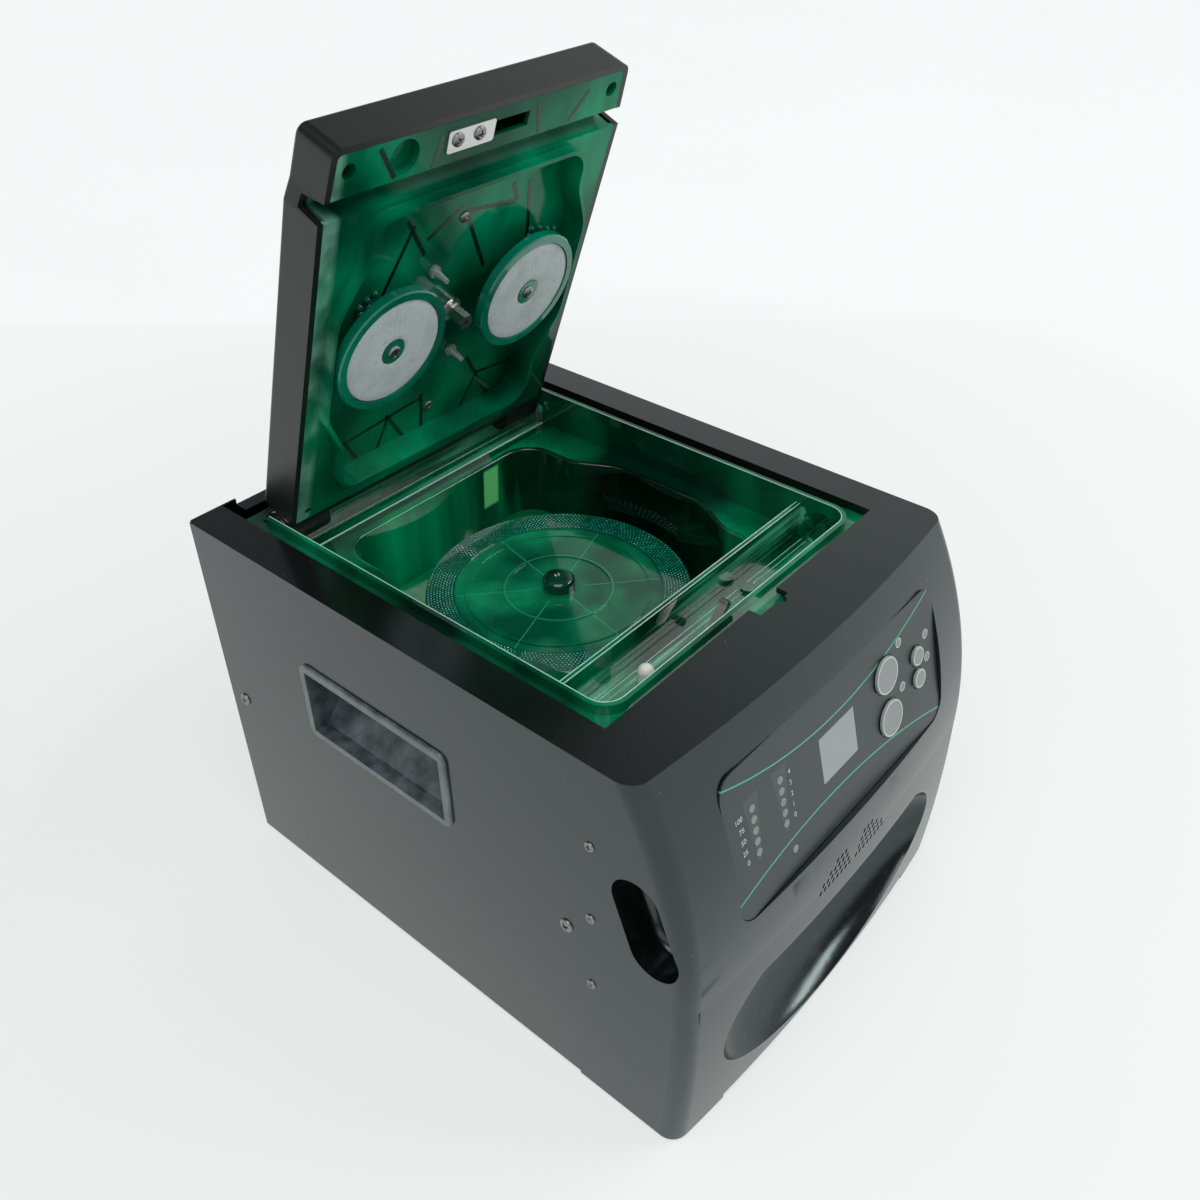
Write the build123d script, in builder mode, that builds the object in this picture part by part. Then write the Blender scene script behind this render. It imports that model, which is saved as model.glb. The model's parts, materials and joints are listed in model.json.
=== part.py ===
from build123d import *
from math import cos, radians, sin
import os

# Disc repair machine. Millimetres, +Z up, the front faces -Y, origin on the floor below the cabinet's centre.
# The lid stands open. Lid pieces are drawn at their closed place and turned about the hinge by the planes below.

os.makedirs("parts", exist_ok=True)

# ---------------------------------------------------------------- driving dimensions
body_w = 212.0
sheet_depth = 218.5
cabinet_h = 189.0
foot_h = 3.0
sheet_t = 1.0
fit_gap = 0.3
run_gap = 0.05
seam_y = -81.0

rail_w = 17.0
rail_return = 3.6
bend_r = 1.8

bezel_wall = 2.5
bezel_top_y = -113.0
bezel_belly_y = -139.6
bezel_belly_z = 90.0
bezel_mid_y = -131.0
bezel_mid_drop = 42.0
bezel_low_y = -140.0
bezel_low_z = 55.0
bezel_foot_y = -137.4
bezel_foot_z = 1.5
bezel_bow_r = 950.0
bezel_corner_r = 8.0
bezel_brow_r = 8.0
plinth_lift = 3.0
plinth_half_w = 76.0

panel_top_y = -119.0
panel_top_drop = 14.0
panel_low_y = -135.2
panel_rise = 62.2
vent_rows = (8, 7, 5, 3)
vent_pitch_x = 3.1
vent_pitch_z = 3.5
vent_low_z = 89.5

panel_w = 152.0
panel_h = 66.0
panel_corner_r = 9.0
overlay_t = 0.8
panel_floor_t = 2.0

scoop_z = 48.0
scoop_rx = 83.5
scoop_ry = 26.0
scoop_rz = 42.0
scoop_brow_z = 76.5

pocket_y = -113.2
pocket_drop = 66.5
pocket_len = 24.5
pocket_w = 22.0
pocket_tilt = 20.0
pocket_depth = 15.0

handle_offset = 0.75
handle_drop = 63.0
handle_w = 89.0
handle_h = 41.0
handle_lip = 1.5
handle_rim = 3.8
handle_depth = 24.0
handle_wall = 2.0
handle_hook = 12.0

platter_gap = 10.5
platter_offset = 4.1
platter_drop = 41.5
platter_t = 2.5
platter_ring_w = 13.0
hub_r = 7.4
hub_h = 5.6
spindle_r = 4.0

tray_wall = 2.0
rim_side_gap = 23.0
rim_front_gap = 3.5
rim_rear_gap = 10.5
rim_corner_r = 11.0
flange_drop = 6.5
ledge_drop = 19.0
channel_drop = 23.0
channel_l = 27.5
divider_t = 2.4
divider_drop = 4.7
bowl_depth = 58.0
bowl_side_gap = 46.0
bowl_front_gap = 5.0
bowl_rear_gap = 41.5
bowl_corner_r = 14.0
bowl_bend_r = 20.0
lobe_reach = 11.5
lobe_depth = 10.0
platter_room = 3.5
lobe_front_gap = 20.4
lobe_slope = 22.0
trough_rear_gap = 32.7
hose_rises = [(-26.0, 31.0), (35.7, 41.8)]

hinge_rear_gap = 23.9
hinge_drop = 7.5
hinge_pin_r = 3.0
barrel_r = 8.0
knuckle_l = 22.0
open_angle = 70.2
lid_side_gap = 4.5
lid_taper = 3.7
lid_front_gap = 8.4
lid_rear_gap = 30.1
lid_inner_drop = 15.0
lid_t = 18.8
lid_wall = 2.5
groove_front_gap = 3.6
groove_rear_gap = 4.4
groove_depth = 10.8
liner_t = 1.8
liner_floor_rise = 7.4
rim_drop = 4.5
rib_t = 1.6

pad_edge_gap = 5.1
pad_inner_gap = 10.8
pad_rim = 3.9
pad_face_drop = 5.5
pad_holder_t = 4.6
pad_t = 1.6
pad_hub_r = 5.6
pad_stem_r = 2.5

clamp_r = 3.6
clamp_drop = 6.9

key_big_r = 8.2
key_small_r = 4.4
key_stem_r = 2.0
light_r = 1.7

plunger_x = -42.3
lock_gap = 12.0
plunger_r = 3.3
plunger_top_drop = 12.4
lever_pivot_x = -8.0
lever_pivot_drop = 29.0
lever_tip_x = 10.0
lever_tip_drop = 12.5
lever_t = 2.4
lever_w = 4.0

# ---------------------------------------------------------------- places worked out from them
half_w = body_w / 2
base_z = foot_h
top_z = base_z + cabinet_h
rear_y = seam_y + sheet_depth
inner_x = half_w - sheet_t
rim_half_w = half_w - rim_side_gap
rim_front_y = seam_y + rim_front_gap
rim_rear_y = rear_y - rim_rear_gap
rim_top_z = top_z
flange_z = top_z - flange_drop
ledge_z = top_z - ledge_drop
channel_z = top_z - channel_drop
divider_y = rim_front_y + channel_l
divider_top_z = top_z - divider_drop
bowl_half_w = half_w - bowl_side_gap
bowl_front_y = divider_y + bowl_front_gap
bowl_rear_y = rear_y - bowl_rear_gap
bowl_floor_z = top_z - bowl_depth
bowl_mid_y = (bowl_front_y + bowl_rear_y) / 2
trough_front_y = rear_y - trough_rear_gap
platter_y = bowl_mid_y - platter_offset
platter_r = (bowl_rear_y - bowl_front_y) / 2 - platter_gap
platter_z = top_z - platter_drop
lobe_half_l = platter_y - bowl_front_y - lobe_front_gap
hinge_y = rear_y - hinge_rear_gap
hinge_z = top_z - hinge_drop
lid_half_w = rim_half_w - lid_side_gap
lid_tip_half_w = lid_half_w - lid_taper
lid_front_y = seam_y + lid_front_gap
lid_rear_y = rear_y - lid_rear_gap
lid_inner_z = top_z - lid_inner_drop
groove_front_y = divider_y - groove_front_gap
groove_rear_y = divider_y + groove_rear_gap
pad_holder_r = (bowl_half_w + lobe_reach - pad_edge_gap - pad_inner_gap) / 2
pad_x = pad_inner_gap + pad_holder_r
pad_r = pad_holder_r - pad_rim
lock_y = divider_y - lock_gap
plunger_top_z = top_z - plunger_top_drop
lever_pivot_z = top_z - lever_pivot_drop
lever_tip_z = top_z - lever_tip_drop
handle_y = (seam_y + rear_y) / 2 + handle_offset
handle_z = top_z - handle_drop
pocket_z = top_z - pocket_drop
bezel_mid_z = top_z - bezel_mid_drop
panel_top_z = top_z - panel_top_drop
panel_low_z = panel_top_z - panel_rise
pan_top_z = base_z + 1.2
lid_outer_z = lid_inner_z + lid_t
liner_floor_z = lid_inner_z + liner_floor_rise
shell_inner_z = lid_outer_z - lid_wall
groove_top_z = lid_inner_z + groove_depth
platter_top_z = platter_z + platter_t
hub_top_z = platter_top_z + hub_h
pad_face_z = lid_inner_z - pad_face_drop
clamp_tip_z = lid_inner_z - clamp_drop
panel_length = ((panel_top_y - panel_low_y) ** 2 + (panel_top_z - panel_low_z) ** 2) ** 0.5
panel_up_y = (panel_top_y - panel_low_y) / panel_length
panel_up_z = (panel_top_z - panel_low_z) / panel_length
SIDES = {"left": -1, "right": 1}


def lid_point(y, z):
    """Where a point of the closed lid stands with the lid open."""
    dy, dz = y - hinge_y, z - hinge_z
    c, s = cos(radians(open_angle)), sin(radians(open_angle))
    return hinge_y + dy * c + dz * s, hinge_z - dy * s + dz * c


def lid_plane(z, x=0.0, y=0.0):
    """A level plane of the closed lid, turned with the lid."""
    oy, oz = lid_point(y, z)
    a = radians(open_angle)
    return Plane(origin=(x, oy, oz), x_dir=(1, 0, 0), z_dir=(0, sin(a), cos(a)))


def lid_side_plane(x):
    """A plane across the lid, with local x along the closed lid's depth and local y up."""
    oy, oz = lid_point(0, 0)
    a = radians(open_angle)
    return Plane(origin=(x, oy, oz), x_dir=(0, cos(a), -sin(a)), z_dir=(1, 0, 0))


def panel_plane(out=0.0):
    """The control panel's plane: local x to the right, local y up the panel, normal outwards."""
    origin = (0, panel_low_y - out * panel_up_z, panel_low_z + out * panel_up_y)
    return Plane(origin=origin, x_dir=(1, 0, 0), z_dir=(0, -panel_up_z, panel_up_y))


def save(piece, name):
    piece.part.label = name
    export_step(piece.part, "parts/" + name + ".step")


def screw(plane, head_r, head_h, shank_r, shank_l, recess):
    """A cross-head screw whose head stands on the plane and whose shank goes down from it."""
    with BuildPart() as one:
        with BuildSketch(plane):
            Circle(head_r)
        extrude(amount=head_h, taper=20)
        with BuildSketch(plane.offset(head_h - recess)):
            Rectangle(head_r * 1.2, head_r * 0.3)
            Rectangle(head_r * 0.3, head_r * 1.2)
        extrude(amount=recess + 1, mode=Mode.SUBTRACT)
        with BuildSketch(plane):
            Circle(shank_r)
        extrude(amount=-shank_l)
    return one.part


def screw_group(name, planes, head_r, head_h, shank_r, shank_l, recess=0.8):
    with BuildPart() as group:
        for plane in planes:
            add(screw(plane, head_r, head_h, shank_r, shank_l, recess))
    save(group, name)


def box_at(x0, x1, y0, y1, z0, z1, mode=Mode.ADD):
    """A block between two corners, inside the part being built."""
    with Locations(((x0 + x1) / 2, (y0 + y1) / 2, (z0 + z1) / 2)):
        Box(abs(x1 - x0), y1 - y0, z1 - z0, mode=mode)


def lid_box(x0, x1, y0, y1, z0, z1, mode=Mode.ADD):
    """The same block for the closed lid, turned with the lid."""
    with BuildSketch(lid_plane(z0)) as area:
        with Locations(((x0 + x1) / 2, (y0 + y1) / 2)):
            Rectangle(x1 - x0, y1 - y0)
    extrude(area.sketch, amount=z1 - z0, mode=mode)


def lid_round(x, y, r, z0, z1, mode=Mode.ADD):
    """A round boss, shaft or hole of the closed lid between two heights."""
    with Locations(lid_plane(z0, x, y)):
        Cylinder(r, z1 - z0, align=(Align.CENTER, Align.CENTER, Align.MIN), mode=mode)


def upright(x, y, r, z0, z1, mode=Mode.ADD):
    """An upright cylinder between two heights."""
    with Locations((x, y, z0)):
        Cylinder(r, z1 - z0, align=(Align.CENTER, Align.CENTER, Align.MIN), mode=mode)


# ---------------------------------------------------------------- sheet-metal cabinet
handle_cut_w = handle_w - 2 * handle_rim + 2 * handle_wall + 0.4
handle_cut_h = handle_h - 2 * handle_rim + 2 * handle_wall + 0.4
cover_screw_places = [(seam_y + 5.2, top_z - 94.0), (rear_y - 10.7, top_z - 95.3)]
cover_screw_hole_r = 1.7


def side_panel(side):
    with BuildPart() as panel:
        with BuildSketch(Plane.XZ.offset(-seam_y)) as section:
            with Locations((side * (half_w - sheet_t / 2), (base_z + top_z) / 2)):
                Rectangle(sheet_t, cabinet_h)
            with Locations((side * (half_w - rail_w / 2), top_z - sheet_t / 2)):
                Rectangle(rail_w, sheet_t)
            with Locations((side * (half_w - rail_w + sheet_t / 2), top_z - rail_return / 2)):
                Rectangle(sheet_t, rail_return)
            outer = [v for v in section.vertices() if abs(abs(v.X) - half_w) < 0.01 and v.Z > top_z - 0.01]
            fillet(outer, radius=bend_r)
            inner = [v for v in section.vertices() if abs(abs(v.X) - inner_x) < 0.01 and v.Z > handle_z]
            fillet(inner, radius=bend_r - sheet_t)
        extrude(amount=-sheet_depth)
        with BuildSketch(Plane.YZ.offset(side * (half_w - sheet_t / 2))):
            with Locations((handle_y, handle_z)):
                RectangleRounded(handle_cut_w, handle_cut_h, 0.5)
            with Locations(*cover_screw_places):
                Circle(cover_screw_hole_r)
        extrude(amount=sheet_t, both=True, mode=Mode.SUBTRACT)
    return panel


for side_name, side in SIDES.items():
    save(side_panel(side), "side_panel_" + side_name)

rear_half_w = inner_x - 0.2
flange_l = 14.0
rear_face_y = rear_y + 0.1
rear_notch_half_w = rim_half_w - 1.0
rear_notch_drop = 3.0
fan_x, fan_z, fan_size = -5.0, 66.0, 60.0
inlet_x, inlet_z = inner_x - 35.0, 28.0
inlet_w, inlet_h = 28.0, 20.0
rocker_x, rocker_z = inlet_x, 56.0
rocker_w, rocker_h = 21.0, 15.0
inlet_flange_t = 1.2
switch_flange_t = 1.0
rear_reach = 2.35
with BuildPart() as rear_panel:
    box_at(-rear_half_w, rear_half_w, rear_face_y, rear_face_y + sheet_t, base_z, top_z)
    for side in SIDES.values():
        x0, x1 = sorted((side * rear_half_w, side * (rear_half_w - sheet_t)))
        box_at(x0, x1, rear_y - flange_l, rear_face_y, base_z + 8, top_z - 12)
    box_at(-rear_notch_half_w, rear_notch_half_w, rear_y - 6, rear_face_y, top_z - rear_notch_drop - sheet_t,
           top_z - rear_notch_drop)
    box_at(-rear_notch_half_w, rear_notch_half_w, rear_y - 1, rear_y + 3, top_z - rear_notch_drop, top_z + 1,
           mode=Mode.SUBTRACT)
    with BuildSketch(Plane.XZ.offset(-rear_face_y + 1)):
        with Locations((inlet_x, inlet_z)):
            Rectangle(inlet_w + 2 * fit_gap, inlet_h + 2 * fit_gap)
        with Locations((rocker_x, rocker_z)):
            Rectangle(rocker_w + 2 * fit_gap, rocker_h + 2 * fit_gap)
        with Locations((fan_x, fan_z)):
            for ring_r, count in ((9, 6), (16, 12), (23, 18)):
                with PolarLocations(ring_r, count):
                    Circle(2.1)
    extrude(amount=-4, mode=Mode.SUBTRACT)
    with BuildSketch(Plane.YZ):
        with Locations((cover_screw_places[1][0], cover_screw_places[1][1])):
            Circle(cover_screw_hole_r)
    extrude(amount=half_w + 5, both=True, mode=Mode.SUBTRACT)
save(rear_panel, "rear_panel")

foot_x = half_w - 18.0
foot_places = [(x, y) for x in (-foot_x, foot_x) for y in (seam_y + 16, rear_y - 16)]
with BuildPart() as base_pan:
    box_at(-inner_x + 0.3, inner_x - 0.3, seam_y + 0.5, rear_y - 0.2, base_z, pan_top_z)
    for side in SIDES.values():
        x0, x1 = sorted((side * (inner_x - 0.3), side * (inner_x - 0.3 - sheet_t)))
        box_at(x0, x1, seam_y + 4, rear_y - flange_l - 2, pan_top_z, pan_top_z + 14)
    with BuildSketch(Plane.XY.offset(base_z - 1)):
        with Locations(*foot_places):
            Circle(2.1)
        with GridLocations(9, 26, 8, 2):
            SlotOverall(20, 3, rotation=90)
    extrude(amount=4, mode=Mode.SUBTRACT)
save(base_pan, "base_pan")

with BuildPart() as rubber_feet:
    with BuildSketch(Plane.XY):
        with Locations(*foot_places):
            Circle(8)
    extrude(amount=foot_h)
    chamfer(rubber_feet.edges().group_by(Axis.Z)[0], length=0.8)
    with BuildSketch(Plane.XY.offset(foot_h)):
        with Locations(*foot_places):
            Circle(2.0)
    extrude(amount=1.2)
save(rubber_feet, "rubber_feet")

bulkhead_y = seam_y + 1.0
bulkhead_top = top_z - 32.0
bulkhead_open_low = 44.0
bulkhead_open_high = bulkhead_top - 20.0
bezel_ear_x = half_w - bezel_wall
bezel_screw_places = [(seam_y - 7, top_z - drop) for drop in (40.0, 80.0, 120.4)]
with BuildPart() as front_bulkhead:
    box_at(-rear_half_w, rear_half_w, bulkhead_y, bulkhead_y + sheet_t, pan_top_z, bulkhead_top)
    for side in SIDES.values():
        x0, x1 = sorted((side * rear_half_w, side * (rear_half_w - sheet_t)))
        box_at(x0, x1, bulkhead_y + sheet_t, bulkhead_y + flange_l, pan_top_z + 16, bulkhead_top)
        x0, x1 = sorted((side * bezel_ear_x, side * (bezel_ear_x - sheet_t)))
        box_at(x0, x1, seam_y - 13, bulkhead_y, top_z - 130, bulkhead_top)
    with BuildSketch(Plane.XZ.offset(-bulkhead_y + 1)):
        with Locations((0, (bulkhead_open_low + bulkhead_open_high) / 2)):
            RectangleRounded(2 * half_w - 62, bulkhead_open_high - bulkhead_open_low, 10)
    extrude(amount=-4, mode=Mode.SUBTRACT)
    with BuildSketch(Plane.YZ):
        with Locations(*bezel_screw_places):
            Circle(1.2)
    extrude(amount=half_w + 5, both=True, mode=Mode.SUBTRACT)
    with BuildSketch(Plane.YZ):
        with Locations((cover_screw_places[0][0], cover_screw_places[0][1])):
            Circle(cover_screw_hole_r)
    extrude(amount=half_w + 5, both=True, mode=Mode.SUBTRACT)
save(front_bulkhead, "front_bulkhead")

bracket_in_x = rim_half_w + 5.0
bracket_z = flange_z - 1.2
with BuildPart() as tray_brackets:
    for side in SIDES.values():
        x0, x1 = sorted((side * bracket_in_x, side * (inner_x - fit_gap)))
        box_at(x0, x1, seam_y + 4, rear_y - flange_l - 4, bracket_z, bracket_z + 1.2)
        x0, x1 = sorted((side * (inner_x - fit_gap - 1.2), side * (inner_x - fit_gap)))
        box_at(x0, x1, seam_y + 4, rear_y - flange_l - 4, bracket_z - 12, bracket_z)
save(tray_brackets, "tray_brackets")

cover_planes = [
    Plane(origin=(side * half_w, y, z), z_dir=(side, 0, 0)) for side in SIDES.values() for y, z in cover_screw_places
]


# ---------------------------------------------------------------- carrying-handle cups
def handle_cup(side):
    face_x = half_w + handle_lip
    back_x = half_w - handle_depth
    open_w = handle_w - 2 * handle_rim
    low_z = handle_z - handle_h / 2 + handle_rim
    high_z = handle_z + handle_h / 2 - handle_rim
    with BuildPart() as cup:
        with BuildSketch(Plane.YZ.offset(side * half_w)):
            with Locations((handle_y, handle_z)):
                RectangleRounded(handle_w, handle_h, 5)
        extrude(amount=side * handle_lip)
        rim_edges = cup.edges().group_by(Axis.X)[-1 if side > 0 else 0]
        fillet(rim_edges, radius=1.0)
        with BuildSketch(Plane.XZ.offset(-(handle_y - open_w / 2 - handle_wall))):
            with BuildLine():
                Polyline(
                    (side * half_w, low_z - handle_wall),
                    (side * half_w, high_z + handle_wall),
                    (side * (half_w - 4.5), high_z + handle_wall),
                    (side * (half_w - 4.5), high_z + handle_hook + handle_wall),
                    (side * (back_x - handle_wall), high_z + handle_hook + handle_wall),
                    (side * (back_x - handle_wall), low_z + 18),
                    (side * (half_w - 6), low_z - handle_wall),
                    close=True,
                )
            make_face()
        extrude(amount=-(open_w + 2 * handle_wall))
        with BuildSketch(Plane.XZ.offset(-(handle_y - open_w / 2))):
            with BuildLine():
                Polyline(
                    (side * (face_x + 1), low_z),
                    (side * (face_x + 1), high_z),
                    (side * (half_w - 6.5), high_z),
                    (side * (half_w - 6.5), high_z + handle_hook),
                    (side * back_x, high_z + handle_hook),
                    (side * back_x, low_z + 19),
                    (side * (half_w - 5), low_z),
                    close=True,
                )
            make_face()
        extrude(amount=-open_w, mode=Mode.SUBTRACT)
    return cup


for side_name, side in SIDES.items():
    save(handle_cup(side), "handle_cup_" + side_name)

# ---------------------------------------------------------------- front bezel
bow_axis = Axis((0, bezel_belly_y + bezel_bow_r, 0), (0, 0, 1))
bow_sweep = 16.0


def bezel_form(inset, side_inset):
    """The bezel's outer form, or its inside when inset by the wall."""
    low = bezel_foot_z + (0 if inset == 0 else -1)
    with BuildPart() as form:
        with BuildSketch(Plane.YZ) as section:
            with BuildLine():
                brow = (bezel_top_y + inset, top_z - inset)
                belly = (bezel_belly_y + inset, bezel_belly_z)
                foot = (bezel_foot_y + inset, low)
                back = seam_y + 20
                Line((back, top_z - inset), brow)
                ThreePointArc(brow, (bezel_mid_y + inset, bezel_mid_z - inset / 2), belly)
                ThreePointArc(belly, (bezel_low_y + inset, bezel_low_z), foot)
                Line(foot, (back, low))
                Line((back, low), (back, top_z - inset))
            make_face()
            corner = [v for v in section.vertices() if abs(v.Y - brow[0]) < 0.01 and abs(v.Z - brow[1]) < 0.01]
            fillet(corner, radius=bezel_brow_r - inset)
        revolve(axis=bow_axis, revolution_arc=bow_sweep)
    turned = form.part.rotate(bow_axis, -bow_sweep / 2)
    with BuildPart() as trimmed:
        add(turned)
        with BuildSketch(Plane.XY.offset(low)):
            with Locations((0, (seam_y - 170) / 2)):
                Rectangle(2 * (half_w - side_inset), 170 + seam_y)
        extrude(amount=cabinet_h + 10, mode=Mode.INTERSECT)
        tall = [
            e
            for e in trimmed.edges()
            if abs(abs(e.center().X) - (half_w - side_inset)) < 1.0 and e.center().Y < bezel_top_y - 1
        ]
        fillet(tall, radius=bezel_corner_r - side_inset)
    return trimmed.part


def bowed_block(sketch_plane, sketch_fn, depth_in, outer):
    """A block that a sketch cuts from the bezel's form, from the sketch's plane outwards."""
    with BuildPart() as block:
        with BuildSketch(sketch_plane.offset(-depth_in)):
            sketch_fn()
        extrude(amount=60)
        add(outer, mode=Mode.INTERSECT)
    return block.part


def panel_outline(grow=0.0):
    with Locations((0, panel_h / 2 - 1)):
        RectangleRounded(panel_w + 2 * grow, panel_h + 2 * grow, panel_corner_r + grow)


def scoop_form(grow):
    """The finger scoop's hollow, with its flat brow, or the basin round it when grown."""
    ball = scale(Sphere(1, mode=Mode.PRIVATE), by=(scoop_rx + grow, scoop_ry + grow, scoop_rz + grow),
                 mode=Mode.PRIVATE)
    with BuildPart() as form:
        add(Location((0, bezel_low_y, scoop_z)) * ball)
        box_at(-120, 120, -200, seam_y, 0, scoop_brow_z + grow, mode=Mode.INTERSECT)
    return form.part


def pocket_form(side, grow):
    """The grip pocket's hollow in the bezel's side, or the wall round it when grown."""
    with BuildPart() as form:
        with BuildSketch(Plane.YZ.offset(side * (half_w + 5))):
            with Locations((pocket_y, pocket_z)):
                SlotCenterToCenter(pocket_len, pocket_w + 2 * grow, rotation=90 - pocket_tilt)
        extrude(amount=-side * (pocket_depth + 5 + grow))
        inner = form.edges().group_by(Axis.X)[0 if side > 0 else -1]
        fillet(inner, radius=4 + grow)
    return form.part


big_keys = [(34.4, 43.7), (34.9, 22.7)]
small_keys = [(59.2, 38.5), (59.2, 27.5)]
supply_lights = [(-59.6, 23.7 + 5 * i) for i in range(5)]
time_lights = [(-41.7, 23.7 + 5 * i) for i in range(5)]
ring_lights = [(46.7, 51.9), (46.7, 30.7), (68.0, 44.2), (68.1, 33.0)]
standby_light = [(-38.8, 9.3)]
light_places = supply_lights + time_lights + ring_lights + standby_light
key_places = [(x, v, key_big_r) for x, v in big_keys] + [(x, v, key_small_r) for x, v in small_keys]
window_x, window_v, window_w, window_h = -2.7, 33.5, 25.3, 21.2
panel_open = {"light": 0.15, "stem": 0.35, "head": 0.45}

outer_form = bezel_form(0, 0)
inner_form = bezel_form(bezel_wall, bezel_wall)

with BuildPart() as front_bezel:
    add(outer_form)
    add(inner_form, mode=Mode.SUBTRACT)
    add(bowed_block(panel_plane(), lambda: panel_outline(bezel_wall), overlay_t + panel_floor_t, outer_form))
    add(scoop_form(bezel_wall).intersect(outer_form))
    for side in SIDES.values():
        add(pocket_form(side, bezel_wall).intersect(outer_form))
    with BuildSketch(panel_plane(-overlay_t)):
        panel_outline()
    extrude(amount=40, mode=Mode.SUBTRACT)
    add(scoop_form(0), mode=Mode.SUBTRACT)
    for side in SIDES.values():
        add(pocket_form(side, 0), mode=Mode.SUBTRACT)
    box_at(-plinth_half_w, plinth_half_w, -160, seam_y + 1, 0, bezel_foot_z + plinth_lift, mode=Mode.SUBTRACT)
    with BuildSketch(panel_plane()):
        for x, v, r in key_places:
            with Locations((x, v)):
                Circle(key_stem_r + panel_open["stem"])
        with Locations(*light_places):
            Circle(light_r + panel_open["light"])
        with Locations((window_x, window_v)):
            Rectangle(window_w - 3, window_h - 3)
    extrude(amount=-5, mode=Mode.SUBTRACT)
    with BuildSketch(Plane.XZ.offset(150)):
        for row, count in enumerate(vent_rows):
            for i in range(count):
                for side in SIDES.values():
                    with Locations((side * (2.6 + vent_pitch_x * (i + row * 0.5)), vent_low_z + vent_pitch_z * row)):
                        SlotOverall(2.6, 1.4, rotation=72)
    extrude(amount=-25, mode=Mode.SUBTRACT)
    with BuildSketch(Plane.XY.offset(top_z - 6)):
        with Locations((6.5, seam_y - 2)):
            Rectangle(19, 7)
        with Locations((11, seam_y - 5.5)):
            Circle(2.2)
    extrude(amount=10, mode=Mode.SUBTRACT)
    with BuildSketch(Plane.YZ):
        with Locations(*bezel_screw_places):
            Circle(1.2)
    extrude(amount=half_w + 5, both=True, mode=Mode.SUBTRACT)
save(front_bezel, "front_bezel")

bezel_screw_planes = [
    Plane(origin=(side * half_w, y, z), z_dir=(side, 0, 0)) for side in SIDES.values() for y, z in bezel_screw_places
]
with BuildPart() as cabinet_screws:
    for plane in cover_planes:
        add(screw(plane, 3.0, 1.8, 1.5, 4.0, 0.8))
    for plane in bezel_screw_planes:
        add(screw(plane, 2.4, 1.2, 1.1, 3.4, 0.6))
save(cabinet_screws, "cabinet_screws")

# ---------------------------------------------------------------- control panel
with BuildPart() as control_overlay:
    with BuildSketch(panel_plane(-overlay_t)):
        panel_outline(-fit_gap)
        for x, v, r in key_places:
            with Locations((x, v)):
                Circle(r + panel_open["head"], mode=Mode.SUBTRACT)
        with Locations(*light_places):
            Circle(light_r + panel_open["light"], mode=Mode.SUBTRACT)
        with Locations((window_x, window_v)):
            Rectangle(window_w, window_h, mode=Mode.SUBTRACT)
    extrude(amount=overlay_t)
save(control_overlay, "control_overlay")

with BuildPart() as display_window:
    with BuildSketch(panel_plane(-overlay_t)):
        with Locations((window_x, window_v)):
            Rectangle(window_w - 0.1, window_h - 0.1)
    extrude(amount=overlay_t - 0.1)
save(display_window, "display_window")

board_drop = 9.0
with BuildPart() as status_lights:
    with BuildSketch(panel_plane(-board_drop)):
        with Locations(*light_places):
            Circle(light_r)
    extrude(amount=board_drop + 0.1)
save(status_lights, "status_lights")

with BuildPart() as control_board:
    with BuildSketch(panel_plane(-board_drop)):
        with Locations((0, panel_h / 2 - 1)):
            Rectangle(146, 56)
    extrude(amount=-1.6)
    for x, v, r in key_places:
        with BuildSketch(panel_plane(-board_drop)):
            with Locations((x, v)):
                Rectangle(5, 5)
        extrude(amount=1.8)
    with BuildSketch(panel_plane(-board_drop)):
        with Locations((-60, 12), (-60, 54), (60, 12), (60, 55)):
            Circle(2.4)
    extrude(amount=board_drop - overlay_t - panel_floor_t)
    with BuildSketch(panel_plane(-board_drop)):
        with Locations((window_x, window_v)):
            Rectangle(window_w - 3.4, window_h - 3.4)
    extrude(amount=board_drop - overlay_t)
    with BuildSketch(panel_plane(-board_drop - 1.6)):
        with Locations((10, 12)):
            Circle(6)
            Circle(1.2, mode=Mode.SUBTRACT)
    extrude(amount=-7)
save(control_board, "control_board")



def panel_key(x, v, r):
    """A domed key cap on a stem, with the clip that keeps it in the panel."""
    with BuildPart() as key:
        with BuildSketch(panel_plane(fit_gap)):
            with Locations((x, v)):
                Circle(r)
        extrude(amount=1.2)
        chamfer(key.edges().sort_by(Axis(origin=(0, 0, 0), direction=(0, -panel_up_z, panel_up_y)))[-1], length=0.4)
        with BuildSketch(panel_plane(fit_gap)):
            with Locations((x, v)):
                Circle(key_stem_r)
        extrude(amount=-fit_gap - 5.8)
        with BuildSketch(panel_plane(-overlay_t - panel_floor_t - fit_gap)):
            with Locations((x, v)):
                Circle(key_stem_r + 1.2)
        extrude(amount=-0.8)
    return key


key_names = ["key_upper", "key_lower", "key_option_upper", "key_option_lower"]
for name, (x, v, r) in zip(key_names, key_places):
    save(panel_key(x, v, r), name)


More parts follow.
